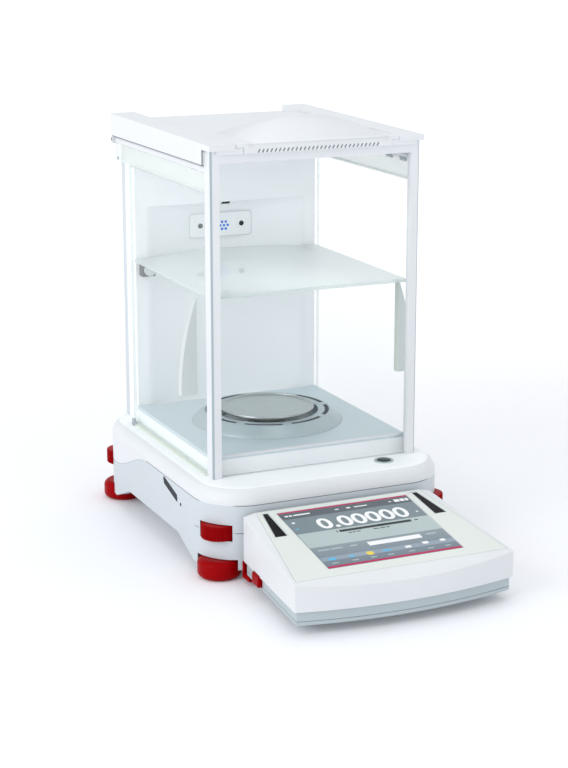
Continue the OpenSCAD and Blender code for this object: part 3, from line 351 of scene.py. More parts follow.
def glass_rim(name, tint):
    """Cut edge of a pane, which gathers the colour of the glass."""
    paint = Paint(name)
    ground = paint.noise(0.6 * MM, 3.0, (1.0, 1.0, 6.0))
    paint.feed(Base_Color=paint.mix(shade(tint, 0.8), shade(tint, 1.25), ground),
               Roughness=0.18 + ground * 0.2, Alpha=0.45 + ground * 0.15)
    return paint.material


def brushed(name, tint, rough=0.34, stretch=(14.0, 1.0, 1.0), grain=0.25 * MM, metallic=1.0):
    """Brushed metal: long fine lines along one axis."""
    paint = Paint(name)
    lines = paint.noise(grain, 3.0, stretch)
    cloud = paint.noise(45 * MM, 2.0)
    paint.feed(Base_Color=paint.mix(shade(tint, 0.88), shade(tint, 1.06), lines),
               Roughness=rough - 0.1 + lines * 0.12 + cloud * 0.08, Metallic=metallic,
               Normal=paint.bump(lines, 0.01 * MM, 0.35))
    return paint.material


def turned(name, tint, centre, rough=0.26, metallic=1.0):
    """Turned metal: fine rings about an upright axis."""
    paint = Paint(name)
    flat = paint.node("ShaderNodeVectorMath", {"operation": "MULTIPLY_ADD"},
                      {0: paint.spot(), 1: (1.0, 1.0, 0.0), 2: (-centre[0], -centre[1], 0.0)})
    radius = paint.node("ShaderNodeVectorMath", {"operation": "LENGTH"}, {0: flat}, output="Value")
    rings = paint.node("ShaderNodeTexNoise", {"noise_dimensions": "1D"},
                       {"W": radius, "Scale": 1.0 / (0.3 * MM), "Detail": 3.0})
    cloud = paint.noise(25 * MM, 3.0)
    paint.feed(Base_Color=paint.mix(shade(tint, 0.86), shade(tint, 1.08), rings),
               Roughness=rough - 0.08 + rings * 0.12 + cloud * 0.06, Metallic=metallic,
               Normal=paint.bump(rings, 0.012 * MM, 0.4))
    return paint.material


def glossy_dark(name, tint, rough=0.09, gloss=0.2):
    """Smoked plastic window with a hard gloss."""
    paint = Paint(name)
    wiping = paint.noise(18 * MM, 4.0, (1.0, 3.0, 1.0))
    paint.feed(Base_Color=paint.mix(shade(tint, 0.75), shade(tint, 1.3), wiping),
               Roughness=rough + wiping * 0.06, Specular_IOR_Level=gloss)
    return paint.material


def circuit(name, tint):
    """Lacquered circuit board with the shimmer of its weave and tracks."""
    paint = Paint(name)
    cells = paint.node("ShaderNodeTexBrick", {"offset": 0.5},
                       {"Vector": paint.spot(), "Scale": 1.0, "Brick Width": 6 * MM,
                        "Row Height": 2 * MM, "Mortar Size": 0.25 * MM, "Color1": tint,
                        "Color2": shade(tint, 1.3), "Mortar": shade(tint, 2.4)})
    weave = paint.noise(0.5 * MM, 2.0)
    paint.feed(Base_Color=cells, Roughness=0.3 + weave * 0.15, Normal=paint.bump(weave, 0.02 * MM, 0.3))
    return paint.material


def wound(name, tint):
    """Wound wire: close turns along the upright axis."""
    paint = Paint(name)
    turns = paint.node("ShaderNodeTexWave", {"wave_type": "BANDS", "bands_direction": "Z"},
                       {"Vector": paint.spot(), "Scale": 1.0 / (2.4 * MM), "Distortion": 0.4},
                       output="Fac")
    paint.feed(Base_Color=paint.mix(shade(tint, 0.5), shade(tint, 1.1), turns), Metallic=1.0,
               Roughness=0.25 + turns * 0.15, Normal=paint.bump(turns, 0.1 * MM, 0.6))
    return paint.material


def lit(name, tint, glow=0.72, far=None):
    """Lit area of the screen: a fine pixel grain, and a fade to a second colour at the front."""
    paint = Paint(name)
    pixels = paint.noise(0.4 * MM, 1.0)
    base = paint.mix(shade(tint, 0.94), shade(tint, 1.04), pixels)
    if far:
        along = paint.node("ShaderNodeSeparateXYZ", None, {0: paint.spot()}, output="Y")
        front, rear = span("touch_glass", "y")
        base = paint.mix(base, far, (rear - along) * (1.0 / (rear - front)))
    paint.feed(Base_Color=paint.mix(shade(tint, 0.2), shade(tint, 0.3), pixels),
               Roughness=0.10 + pixels * 0.03, Emission_Color=base, Emission_Strength=glow,
               Specular_IOR_Level=0.25)
    return paint.material


def build_finishes(colours):
    """Every finish of the balance, by name."""
    pan_centre = middle_of("weighing_pan")
    return {
        "white": moulded("white_plastic", colours.white),
        "grey": moulded("grey_plastic", colours.grey, rough=0.46),
        # Lighter white inside the chamber, painted light.
        "wall": moulded("chamber_white_painted_light", colours.wall, rough=0.5),
        # Painted shade on the posts' slanted corners.
        "trim": moulded("post_corner_painted_shade", colours.trim, rough=0.4),
        "cream": moulded("cream_inlay", colours.cream, rough=0.5, grain=0.25 * MM),
        "red": moulded("red_plastic", colours.red, rough=0.34, depth=0.01 * MM, gloss=0.05),
        "black": moulded("black_plastic", colours.black, rough=0.5),
        # Painted shadow inside slots, vents and wheel pockets.
        "shadow": moulded("slot_painted_shadow", colours.shadow, rough=0.7, gloss=0.1),
        "rubber": moulded("rubber", colours.rubber, rough=0.8, grain=0.6 * MM, depth=0.05 * MM),
        "handle": moulded("handle_plastic", colours.handle, rough=0.3, depth=0.006 * MM, coat=0.2),
        # Door sills, and painted light on the handles' roots.
        "root": moulded("sill_plastic_and_root_painted_light", colours.root, rough=0.4, depth=0.006 * MM),
        "line": moulded("fine_line", colours.line, rough=0.5),
        # Darker grey under the terminal's overhang, painted shade.
        "under": moulded("terminal_under_painted_shade", colours.under, rough=0.45),
        # Seams, and painted shade between the ribs and round the ring's foot.
        "seam": moulded("seam_and_painted_shade_line", colours.seam, rough=0.5),
        "dots": moulded("blue_dots", colours.dots, rough=0.35, depth=0.004 * MM),
        "pane": glass("clear_glass", colours.pane, clear=0.985),
        "strip": glass("tinted_glass", colours.strip, clear=0.60),
        "shelf": glass("shelf_glass", colours.shelf, clear=0.46),
        "rim": glass_rim("glass_rim", colours.glass_edge),
        "floor_metal": brushed("floor_metal", colours.floor_metal, rough=0.42, metallic=0.5),
        "bright": turned("bright_metal", colours.bright_metal, pan_centre, rough=0.34, metallic=0.75),
        "pan": turned("pan_steel", colours.pan, pan_centre),
        "steel": brushed("steel", colours.steel, stretch=(1.0, 1.0, 8.0)),
        "cell": brushed("cell_metal", colours.cell, stretch=(1.0, 10.0, 1.0), rough=0.4),
        "brass": brushed("brass", colours.brass, stretch=(6.0, 6.0, 1.0)),
        "copper": wound("copper_coil", colours.copper),
        "board": circuit("board", colours.board),
        # Sensor windows, and painted shade in small holes.
        "window": glossy_dark("dark_window", colours.window, rough=0.16, gloss=0.06),
        "bubble": glossy_dark("level_glass", colours.bubble, rough=0.04, gloss=0.4),
        "screen": glossy_dark("screen_glass", colours.screen_dark, rough=0.05),
        "lit_red": lit("lit_red", colours.screen_red),
        "lit_dark": lit("lit_dark", colours.screen_dark),
        "lit_head": lit("lit_head", colours.screen_head),
        "lit_blue": lit("lit_blue", colours.screen_pale, far=colours.screen_navy),
        "lit_glow": lit("lit_glow", colours.screen_glow),
        "lit_band": lit("lit_band", colours.screen_blue),
        "lit_pale": lit("lit_pale", colours.screen_pale),
        "lit_white": lit("lit_white", colours.screen_white),
        "lit_cyan": lit("lit_cyan", colours.screen_cyan),
        "lit_yellow": lit("lit_yellow", colours.screen_yellow),
    }


FINISH = {}


# Mesh helpers

def span(node, axis):
    """Lowest and highest value of a CAD node along x, y or z, in metres."""
    index = "xyz".index(axis)
    return tuple(corner[index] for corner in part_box(node))


def middle_of(node):
    """Middle of a CAD node's box, in metres."""
    return [(low + high) / 2 for low, high in zip(*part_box(node))]


def radius_of(node):
    """Radius of a round upright CAD node, in metres."""
    low, high = span(node, "x")
    return (high - low) / 2


def angles(count, sweep=2 * math.pi):
    """Equal steps of a sweep, from 0."""
    return [sweep * k / count for k in range(count)]


def solid_of(node, joined=True):
    """A CAD node's mesh, welded, with its flat faces joined or not."""
    bm = bmesh.new()
    bm.from_mesh(frame["nodes"][node].data)
    bmesh.ops.remove_doubles(bm, verts=bm.verts, dist=WELD)
    if joined:
        bmesh.ops.dissolve_limit(bm, angle_limit=math.radians(FLAT), verts=bm.verts, edges=bm.edges)
    return bm


def ease(share):
    """Smooth step from 0 to 1."""
    share = min(max(share, 0.0), 1.0)
    return share * share * (3 - 2 * share)


def soften(bm, width, steps=3, rim=None):
    """Rounds the sharp edges; rim chooses some of them by their ends."""
    least = math.radians(SHARP)
    sharp = [e for e in bm.edges if len(e.link_faces) == 2 and e.calc_face_angle(0.0) > least
             and (rim is None or all(rim(v.co) for v in e.verts))]
    if width > 0 and sharp:
        bmesh.ops.bevel(bm, geom=sharp, offset=width, offset_type="OFFSET", segments=steps,
                        profile=0.5, affect="EDGES", clamp_overlap=rim is None)
    return bm


def loft(rings, close=False):
    """Joins rings of points; the ends are capped, or the last ring is joined to the first."""
    bm = bmesh.new()
    rows = [[bm.verts.new(point) for point in ring] for ring in rings]
    if close:
        rows.append(rows[0])
    for low, high in zip(rows, rows[1:]):
        for i in range(len(low)):
            bm.faces.new((low[i - 1], low[i], high[i], high[i - 1]))
    if not close:
        bm.faces.new(rows[0])
        bm.faces.new(rows[-1])
    return bm


def lathe(profile, centre, steps=48, close=False, axis="z"):
    """Turns a profile of (radius, place along the axis) about an axis through a centre."""
    main = "xyz".index(axis)

    def spot(r, along, turn):
        point = list(centre)
        point[main] = along
        point[main - 2] += r * math.cos(turn)
        point[main - 1] += r * math.sin(turn)
        return point

    return loft([[spot(r, along, turn) for turn in angles(steps)] for r, along in profile], close)


def bar(outline, axis, low, high, edge=0.0):
    """Draws an outline along an axis, and rounds its ends."""
    main = "xyz".index(axis)

    def spot(point, along):
        return (*point[:main], along, *point[main:])

    bm = loft([[spot(point, end) for point in outline] for end in (low, high)])
    return soften(bm, edge, 2) if edge else bm


def oblong(x0, y0, x1, y1, radius=0.0, steps=5):
    """A rectangle with rounded corners."""
    return rounded([(x0, y0), (x1, y0), (x1, y1), (x0, y1)], radius, steps)


def section(near, far, low, high):
    """Upright section of a strip, between two points of a plan."""
    return [(*near, low), (*near, high), (*far, high), (*far, low)]


class Sheet:
    """A flat place on a piece: a corner, and two axes whose lengths count as 1."""

    def __init__(self, corner, across, along):
        self.corner, self.across, self.along = Vector(corner), Vector(across), Vector(along)
        self.out = self.along.cross(self.across).normalized()

    def at(self, u, v, lift=0.0):
        """A point at a height over the sheet."""
        return self.corner + self.across * u + self.along * v + self.out * lift

    def slab(self, outline, low, high):
        """A thin solid with an outline of (u, v)."""
        return loft([[self.at(u, v, lift) for u, v in outline] for lift in (low, high)])

    def outline(self, u0, v0, u1, v1, radius):
        """A rectangle of (u, v) with corners rounded in metres."""
        wide, deep = self.across.length, self.along.length
        corners = oblong(u0 * wide, v0 * deep, u1 * wide, v1 * deep, radius)
        return [(x / wide, y / deep) for x, y in corners]

    def digits(self, text, u0, v0, u1, v1, low, high, weight):
        """Solid digits that fill a rectangle."""
        curve = bpy.data.curves.new("digits", "FONT")
        curve.body, curve.extrude, curve.offset = text, 0.5, weight
        holder = bpy.data.objects.new("digits", curve)
        bpy.context.collection.objects.link(holder)
        ready = holder.evaluated_get(bpy.context.evaluated_depsgraph_get())
        shape = bpy.data.meshes.new_from_object(ready)
        bm = bmesh.new()
        bm.from_mesh(shape)
        ends = [[v.co[axis] for v in bm.verts] for axis in (0, 1)]
        (x0, x1), (y0, y1) = ((min(values), max(values)) for values in ends)
        for vert in bm.verts:
            x, y, z = vert.co
            vert.co = self.at(u0 + (u1 - u0) * (x - x0) / (x1 - x0),
                              v1 + (v0 - v1) * (y - y0) / (y1 - y0), low if z < 0 else high)
        bpy.data.objects.remove(holder)
        bpy.data.meshes.remove(shape)
        bpy.data.curves.remove(curve)
        return bm


def join(parts):
    """One mesh of several."""
    whole = bmesh.new()
    for part in parts:
        mesh = bpy.data.meshes.new("part")
        part.to_mesh(mesh)
        part.free()
        whole.from_mesh(mesh)
        bpy.data.meshes.remove(mesh)
    return whole


def rounded(corners, radius, steps=5):
    """A closed outline whose corners are arcs; a radius of 0 keeps a corner."""
    radii = radius if isinstance(radius, (list, tuple)) else [radius] * len(corners)
    points = [Vector(c) for c in corners]
    outline = []
    for i, (corner, r) in enumerate(zip(points, radii)):
        if not r:
            outline.append(corner)
            continue
        back = (points[i - 1] - corner).normalized()
        on = (points[(i + 1) % len(points)] - corner).normalized()
        half = back.angle(on) / 2
        centre = corner + (back + on).normalized() * r / math.sin(half)
        start, end = (corner + way * r / math.tan(half) - centre for way in (back, on))
        first = math.atan2(start.y, start.x)
        sweep = (math.atan2(end.y, end.x) - first + math.pi) % (2 * math.pi) - math.pi
        outline += [centre + r * Vector((math.cos(a), math.sin(a)))
                    for a in (first + sweep * k / steps for k in range(steps + 1))]
    return outline


def piece(name, bm, finishes, body, slot, stands_for=(), smooth=SMOOTH):
    """Makes an object of a mesh; it rides on a CAD body and can stand for CAD nodes."""
    bmesh.ops.recalc_face_normals(bm, faces=bm.faces)
    mesh = bpy.data.meshes.new(name)
    bm.to_mesh(mesh)
    bm.free()
    for finish in [finishes] if isinstance(finishes, str) else finishes:
        mesh.materials.append(FINISH[finish])
    mesh.polygons.foreach_set("use_smooth", [True] * len(mesh.polygons))
    mesh.set_sharp_from_angle(angle=math.radians(smooth))
    made = bpy.data.objects.new(name, mesh)
    bpy.context.collection.objects.link(made)
    even = made.modifiers.new("even_normals", "WEIGHTED_NORMAL")
    even.keep_sharp = True
    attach(made, body)
    if stands_for:
        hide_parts(*stands_for)
    return made


def trim(name, bm, finish, node):
    """A small piece that rides with a CAD node."""
    return piece(name, bm, finish, body_of(node), slot_of(node))


def stand_in(node, bm, finishes, smooth=SMOOTH):
    """A piece that stands for a CAD node and rides where it rides."""
    return piece(node + "_look", bm, finishes, body_of(node), slot_of(node), (node,), smooth)


def body_of(node):
    """The CAD body that carries a node."""
    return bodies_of(frame["nodes"][node])[0]


def slot_of(node):
    """The record's material slot of a CAD node."""
    return frame["nodes"][node].data.materials[0].name


def refine(node, finish, edge, steps=3, picks=None, line=None, rim=None):
    """A CAD node with rounded edges stands for the node.

    picks gives further finishes to the faces that a test chooses; line is the width of a fine line
    round the faces of the first pick; rim chooses the edges that are rounded.
    """
    picks = picks or {}
    bm = soften(solid_of(node, joined=edge > 0), edge, steps, rim=rim)
    bm.normal_update()
    finishes = [finish, *picks]
    for face in bm.faces:
        for index, chosen in enumerate(picks.values(), 1):
            if chosen(face):
                face.material_index = index
    if line:
        area = [face for face in bm.faces if face.material_index == 1]
        inset = bmesh.ops.inset_region(bm, faces=area, thickness=line, use_even_offset=True)
        for face in inset["faces"]:
            face.material_index = len(finishes)
        finishes.append("seam")
    return stand_in(node, bm, finishes)


def pane(node, finish, axis, edge):
    """A glass pane: its cut edges have the rim finish."""
    index = "xyz".index(axis)
    return refine(node, finish, edge, 2, {"rim": lambda face: abs(face.normal[index]) < 0.9})


def top_sheet(node):
    """The sloping top of a CAD node, from its rear left corner."""
    lo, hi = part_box(node)
    tops = (face for face in frame["nodes"][node].data.polygons if face.normal.z > 0.9)
    face = max(tops, key=lambda top: top.area)

    def height(y):
        return face.center.z - (y - face.center.y) * face.normal.y / face.normal.z

    return Sheet((lo[0], hi[1], height(hi[1])), (hi[0] - lo[0], 0.0, 0.0),
                 (0.0, lo[1] - hi[1], height(lo[1]) - height(hi[1])))


def surface(node, start, way):
    """The point where a ray meets a CAD node."""
    bm = solid_of(node)
    found = BVHTree.FromBMesh(bm).ray_cast(Vector(start), Vector(way))[0]
    bm.free()
    if found is None:
        raise RuntimeError("no surface on " + node)
    return found


def band(node, low, high, lift):
    """A thin band round the outside of a CAD node, between two heights."""
    bm = solid_of(node)
    tree = BVHTree.FromBMesh(bm)
    for level, way in ((low, -1), (high, 1)):
        bmesh.ops.bisect_plane(bm, geom=bm.verts[:] + bm.edges[:] + bm.faces[:],
                               plane_co=(0, 0, level), plane_no=(0, 0, way), clear_outer=True)
    bm.normal_update()

    def inside(face):
        """True on level faces, and where the solid stands before the face."""
        start = face.calc_center_median() + face.normal * 0.01 * MM
        return abs(face.normal.z) > 0.5 or tree.ray_cast(start, face.normal)[0]

    bmesh.ops.delete(bm, geom=[face for face in bm.faces if inside(face)], context="FACES")
    for vert in bm.verts:
        vert.co += vert.normal * lift
    bmesh.ops.solidify(bm, geom=bm.faces[:], thickness=3 * lift)
    return bm


def paint_node(node, finish):
    """A CAD node that stays gets a finish in its material slots."""
    for slot in frame["nodes"][node].material_slots:
        slot.material = FINISH[finish]


# Operators

class BALANCE_OT_stage(bpy.types.Operator):
    """Floor, soft light and the camera"""

    bl_idname = "balance.stage"
    bl_label = "Stage"

    # Place and side of the lamps round the balance, in metres
    KEY = (-2.0, -0.6, 1.2), 1.3
    TOP = (0.2, 0.3, 2.2), 1.6
    FILL = (0.7, -2.1, 0.55), 1.0
    # Side of the lamp under the lid, and its distance behind and below the front beam
    CHAMBER_SIDE, BEHIND_BEAM, BELOW_BEAM = 0.08, 15 * MM, 35 * MM
    NEAR_GLOW = 0.15  # share of the glow close to the balance

    def execute(self, context):
        stage = context.scene.balance_stage
        self.floor(stage)
        self.room(context.scene, stage)
        rear, top = span("front_frame", "y")[1], span("front_frame", "z")[1]
        under_lid = (0.0, rear + self.BEHIND_BEAM, top - self.BELOW_BEAM)
        self.lamp("key", *self.KEY, stage.key_power)
        self.lamp("top", *self.TOP, stage.top_power)
        self.lamp("fill", *self.FILL, stage.fill_power)
        self.lamp("chamber", under_lid, self.CHAMBER_SIDE, stage.chamber_power)
        self.camera(context.scene, stage)
        return {"FINISHED"}

    def floor(self, stage):
        """A wide pale floor, which glows more the farther it is from the balance."""
        bm = bmesh.new()
        bmesh.ops.create_grid(bm, x_segments=8, y_segments=8, size=stage.floor_size)
        mesh = bpy.data.meshes.new("floor")
        bm.to_mesh(mesh)
        bm.free()
        floor = bpy.data.objects.new("floor", mesh)
        bpy.context.collection.objects.link(floor)
        paint = Paint("floor")
        cloud = paint.noise(0.8, 2.0)
        away = paint.node("ShaderNodeVectorMath", {"operation": "LENGTH"}, {0: paint.spot()}, "Value")
        far = paint.node("ShaderNodeMapRange", {"interpolation_type": "SMOOTHSTEP"},
                         {"Value": away, "From Min": stage.glow_near, "From Max": stage.glow_far})
        paint.feed(Base_Color=paint.mix(shade(stage.floor, 0.995), stage.floor, cloud),
                   Roughness=0.6 + cloud * 0.1, Specular_IOR_Level=0.2,
                   Emission_Color=paint.mix([self.NEAR_GLOW] * 3, [1.0] * 3, far),
                   Emission_Strength=stage.floor_glow)
        mesh.materials.append(paint.material)

    def room(self, scene, stage):
        """Even light from all sides."""
        scene.world = bpy.data.worlds.new("room")
        scene.world.use_nodes = True
        back = next(n for n in scene.world.node_tree.nodes if n.type == "BACKGROUND")
        back.inputs["Color"].default_value = (*stage.sky, 1.0)
        back.inputs["Strength"].default_value = stage.sky_power
        scene.view_settings.view_transform = "Standard"

    def lamp(self, name, spot, side, power):
        """A square soft light that points at the middle of the balance."""
        light = bpy.data.lights.new(name, "AREA")
        light.size, light.energy = side, power
        self.aimed(name, light, spot).visible_camera = False

    def camera(self, scene, stage):
        """The photograph's view."""
        lens = bpy.data.cameras.new("camera")
        lens.lens = stage.lens
        lens.clip_end = 100.0
        scene.camera = self.aimed("camera", lens, stage.eye)

    def aimed(self, name, data, spot):
        """A lamp or camera that looks at the stage's aim."""
        made = bpy.data.objects.new(name, data)
        made.location = spot
        way = Vector(bpy.context.scene.balance_stage.aim) - Vector(spot)
        made.rotation_euler = way.to_track_quat("-Z", "Y").to_euler()
        bpy.context.collection.objects.link(made)
        return made


class BALANCE_OT_base(bpy.types.Operator):
    """Base housings with their windows, level, sockets and screws"""

    bl_idname = "balance.base"
    bl_label = "Base"

    def execute(self, context):
        sizes = context.scene.balance_sizes
        wheels = [Vector(middle_of("wheel_" + corner)[:2]) for corner in CORNERS]
        self.housings(sizes, wheels)
        self.seams(sizes, wheels)
        refine("side_sensor_windows", "window", sizes.metal_edge)
        refine("power_inlet", "black", sizes.metal_edge)
        refine("data_sockets", "bright", sizes.metal_edge, 2)
        paint_node("base_screws", "steel")
        self.level(sizes)
        for side, sign in SIDES.items():
            self.sill(side, sign, sizes)
            self.skirt(side, sign, sizes)
            self.window(side, sign, sizes)
            self.dimple(side, sign, sizes)
        return {"FINISHED"}

    def housings(self, sizes, wheels):
        """Tray, shell and cover, with rounded edges where their outer sides meet."""
        lo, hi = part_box("base_shell")
        slot_lo, slot_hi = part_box("side_sensor_windows")
        middle, half, corner = (lo[1] + hi[1]) / 2, (hi[1] - lo[1]) / 2, sizes.base_corner
        deck = hi[2] + (span("top_cover", "z")[1] - hi[2]) / 2
        reach, above, close, around = sizes.pocket_r + 0.3 * MM, 1.0 * MM, 0.1 * MM, 0.5 * MM
        floor, roof = span("wheel_front_left", "z")

        def in_pocket(face):
            """True inside a wheel's pocket."""
            spot = face.calc_center_median()
            return (floor - above < spot.z < roof + above
                    and any((spot.xy - wheel).length < reach for wheel in wheels))

        def on_side(spot):
            """True on the outer sides, away from the pockets and the window slots.

            The lower edge of the shell stays sharp between its corners.
            """
            slot = zip(slot_lo[1:], spot[1:], slot_hi[1:])
            if all(low - around < value < high + around for low, value, high in slot):
                return False
            out = [max(abs(spot.x) - hi[0] + corner, 0.0),
                   max(abs(spot.y - middle) - half + corner, 0.0)]
            if abs(spot.z - lo[2]) < close and out[1] < close / 10:
                return False
            return (math.hypot(*out) > corner - close
                    and all((spot.xy - wheel).length > reach for wheel in wheels))

        # The wheel pockets get the dark slot colour, painted shadow.
        pockets = {"shadow": in_pocket}
        # The plinth above the deck gets the chamber's lighter white, painted light.
        plinth_painted_light = {"wall": lambda face: face.calc_center_median().z > deck}
        for node, finish, picks in (("base_tray", "grey", pockets), ("base_shell", "grey", pockets),
                                    ("top_cover", "white", plinth_painted_light)):
            refine(node, finish, sizes.seam_edge, picks=picks, rim=on_side)

    def seams(self, sizes, wheels):
        """Dark gaps between tray, shell and cover; the lower one stops at the wheels."""
        lo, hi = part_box("base_shell")
        half, behind = sizes.base_seam / 2, 0.6 * MM

        def outline(inset):
            wide = hi[0] - inset
            return oblong(-wide, lo[1] + inset, wide, hi[1] - inset, sizes.base_corner - inset, 32)

        def rings(places, z):
            return [section(near, far, z - half, z + half) for near, far in places]

        pairs = list(zip(outline(sizes.seam_in), outline(sizes.seam_edge + behind)))
        free = [all((near - wheel).length > sizes.pocket_r for wheel in wheels) for near, _ in pairs]
        first = free.index(False)
        runs = [[]]
        for k in range(len(pairs)):
            turn = (first + k) % len(pairs)
            if runs[-1] and abs(pairs[turn][0].y - runs[-1][-1][0].y) > sizes.base_corner:
                runs.append([])
            if free[turn]:
                runs[-1].append(pairs[turn])
            elif runs[-1]:
                runs.append([])
        lower = [loft(rings(run, lo[2])) for run in runs if len(run) > 1]
        trim("lower_seam", join(lower), "line", "base_shell")
        trim("upper_seam", loft(rings(pairs, hi[2]), close=True), "line", "base_shell")

    def level(self, sizes):
        """Bright ring round a dark, domed lens."""
        refine("level_ring", "bright", sizes.metal_edge)
        (low, top), radius = span("level_bubble", "z"), radius_of("level_bubble")
        dome = [(radius * math.cos(a), top + sizes.lens_h * math.sin(a))
                for a in angles(8, math.pi / 2)]
        lens = lathe([(radius, low)] + dome, middle_of("level_bubble"))
        stand_in("level_bubble", lens, "bubble")

    def sill(self, side, sign, sizes):
        """Pale ridge in the deck, under the foot of a door, with a stop at its rear end."""
        inner, outer = sorted(map(abs, span(side + "_door_glass", "x")))
        sunk, clear, stop_h, stop_l = 0.2 * MM, 3 * MM, 5 * MM, 9 * MM
        near, far = sign * (inner - sunk), sign * (outer + sizes.sill_out)
        low = surface("top_cover", (far, 0.0, span("left_door_glass", "z")[0]), (0, 0, -1)).z
        ridge = oblong(near, low - sunk, far, low + sizes.sill_h, [0, 0, 0.6 * MM, 0.3 * MM])
        front, rear = span("front_frame", "y")[1], span("rear_wall", "y")[0] - clear
        trim(side + "_door_sill", bar(ridge, "y", front, rear), "root", "top_cover")
        wedge = rounded([(rear - stop_l, low), (rear, low), (rear, low + stop_h),
                         (rear - 2 * MM, low + stop_h)], [0, 0, 0.8 * MM, 1.0 * MM])
        stop = bar(wedge, "x", sign * (outer + 0.5 * MM), far, 0.3 * MM)
        trim(side + "_door_stop", stop, "seam", "top_cover")

    def skirt(self, side, sign, sizes):
        """Lower edge of the white cover, which dips to the wheel at the rear column, with its seam."""
        _, (wide, rear, level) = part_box("base_shell")
        corner, start, turn = sizes.base_corner, sizes.skirt_start, rear - sizes.base_corner
        top, edge, sunk = level + 1.5 * MM, level - 0.6 * MM, 0.3 * MM
        dip, pocket = edge - sizes.skirt_drop, span("wheel_rear_left", "z")[1] + 2 * MM
        # Degrees round the column: where the seam ends, where the wheel's pocket opens, and where
        # and over how much the edge climbs to its old level
        seam_end, opens, climbs, climb = 10, 15, 55, 30
        steps = 20
        path = [(0, Vector((sign * wide, start + (turn - start) * k / steps)), Vector((sign, 0.0)),
                 edge + (dip - edge) * ease(k / steps)) for k in range(steps + 1)]
        for angle in (5, seam_end, opens - 0.5, *range(opens, 86, 5)):
            a = math.radians(angle)
            way = Vector((sign * math.cos(a), math.sin(a)))
            low = dip if angle < opens else pocket + (edge - pocket) * ease((angle - climbs) / climb)
            path.append((angle, Vector((sign * (wide - corner), turn)) + way * corner, way, low))

        def strip(rows, lift, tall=None):
            """From the lower edge up to the top, or down by a height."""
            return loft([section(spot + way * lift, spot - way * sunk, low - tall if tall else low,
                                 low if tall else top) for _, spot, way, low in rows])

        trim(side + "_cover_skirt", strip(path, 0.05 * MM), "white", "top_cover")
        runs = ([row for row in path if row[0] <= seam_end], [row for row in path if row[0] >= climbs])
        seams = [strip(run, 0.06 * MM, 0.5 * MM) for run in runs]
        trim(side + "_skirt_seam", join(seams), "seam", "top_cover")

    def window(self, side, sign, sizes):
        """Dark face of the slanted sensor window."""
        wall, (y, z) = max(span("base_shell", "x")), (sizes.window_y, sizes.window_z)
        long, tall = sizes.window_l / 2, sizes.window_h / 2
        fall, sunk, proud = math.tan(sizes.window_slope) * long, 0.3 * MM, 0.06 * MM
        outline = rounded([(y - long, z - tall - fall), (y + long, z - tall + fall),
                           (y + long, z + tall + fall), (y - long, z + tall - fall)], 0.5 * MM)
        face = bar(outline, "x", sign * (wall - sunk), sign * (wall + proud))
        trim(side + "_window_face", face, "shadow", "side_sensor_windows")

    def dimple(self, side, sign, sizes):
        """Small dark hole below the deck, in front of the sensor window: a dark button of painted shade
        stands for it.
        """
        wall, radius = max(span("base_shell", "x")), sizes.dimple_r
        profile = [(radius, sign * (wall - 0.6 * MM)), (radius, sign * wall),
                   (0.7 * radius, sign * (wall + 0.08 * MM))]
        centre = (0.0, 1.2 * MM, sizes.window_z - 6.6 * MM)
        trim(side + "_dimple", lathe(profile, centre, 24, axis="x"), "window", "base_shell")


class BALANCE_OT_feet(bpy.types.Operator):
    """Red levelling feet and their ribbed wheels"""

    bl_idname = "balance.feet"
    bl_label = "Feet and wheels"

    def execute(self, context):
        sizes = context.scene.balance_sizes
        for corner in CORNERS:
            refine("foot_" + corner, "red", sizes.foot_edge, 4)
            self.wheel("wheel_" + corner, sizes)
        return {"FINISHED"}

    def wheel(self, node, sizes):
        """A ribbed wheel with rounded edges and the bore for its stem."""
        (x, y, _), (low, high) = middle_of(node), span(node, "z")
        radius, bore, edge, slant = radius_of(node), 4.05 * MM, 0.8 * MM, 0.24 * MM
        rib = [sizes.rib_depth * share for share in (0.0, 0.0, 0.35, 1.0, 1.0, 0.35)]
        dips = rib * sizes.rib_count

        def ring(radii, z):
            return [(x + r * math.cos(a), y + r * math.sin(a), z)
                    for r, a in zip(radii, angles(len(dips)))]

        def ribbed(shrink, z):
            return ring([radius - shrink - dip for dip in dips], z)

        rows = [ribbed(edge, low), ribbed(slant, low + slant), ribbed(0.0, low + edge),
                ribbed(0.0, high - edge), ribbed(slant, high - slant), ribbed(edge, high),
                ring([bore] * len(dips), high), ring([bore] * len(dips), low)]
        stand_in(node, loft(rows, close=True), "red", smooth=50.0)


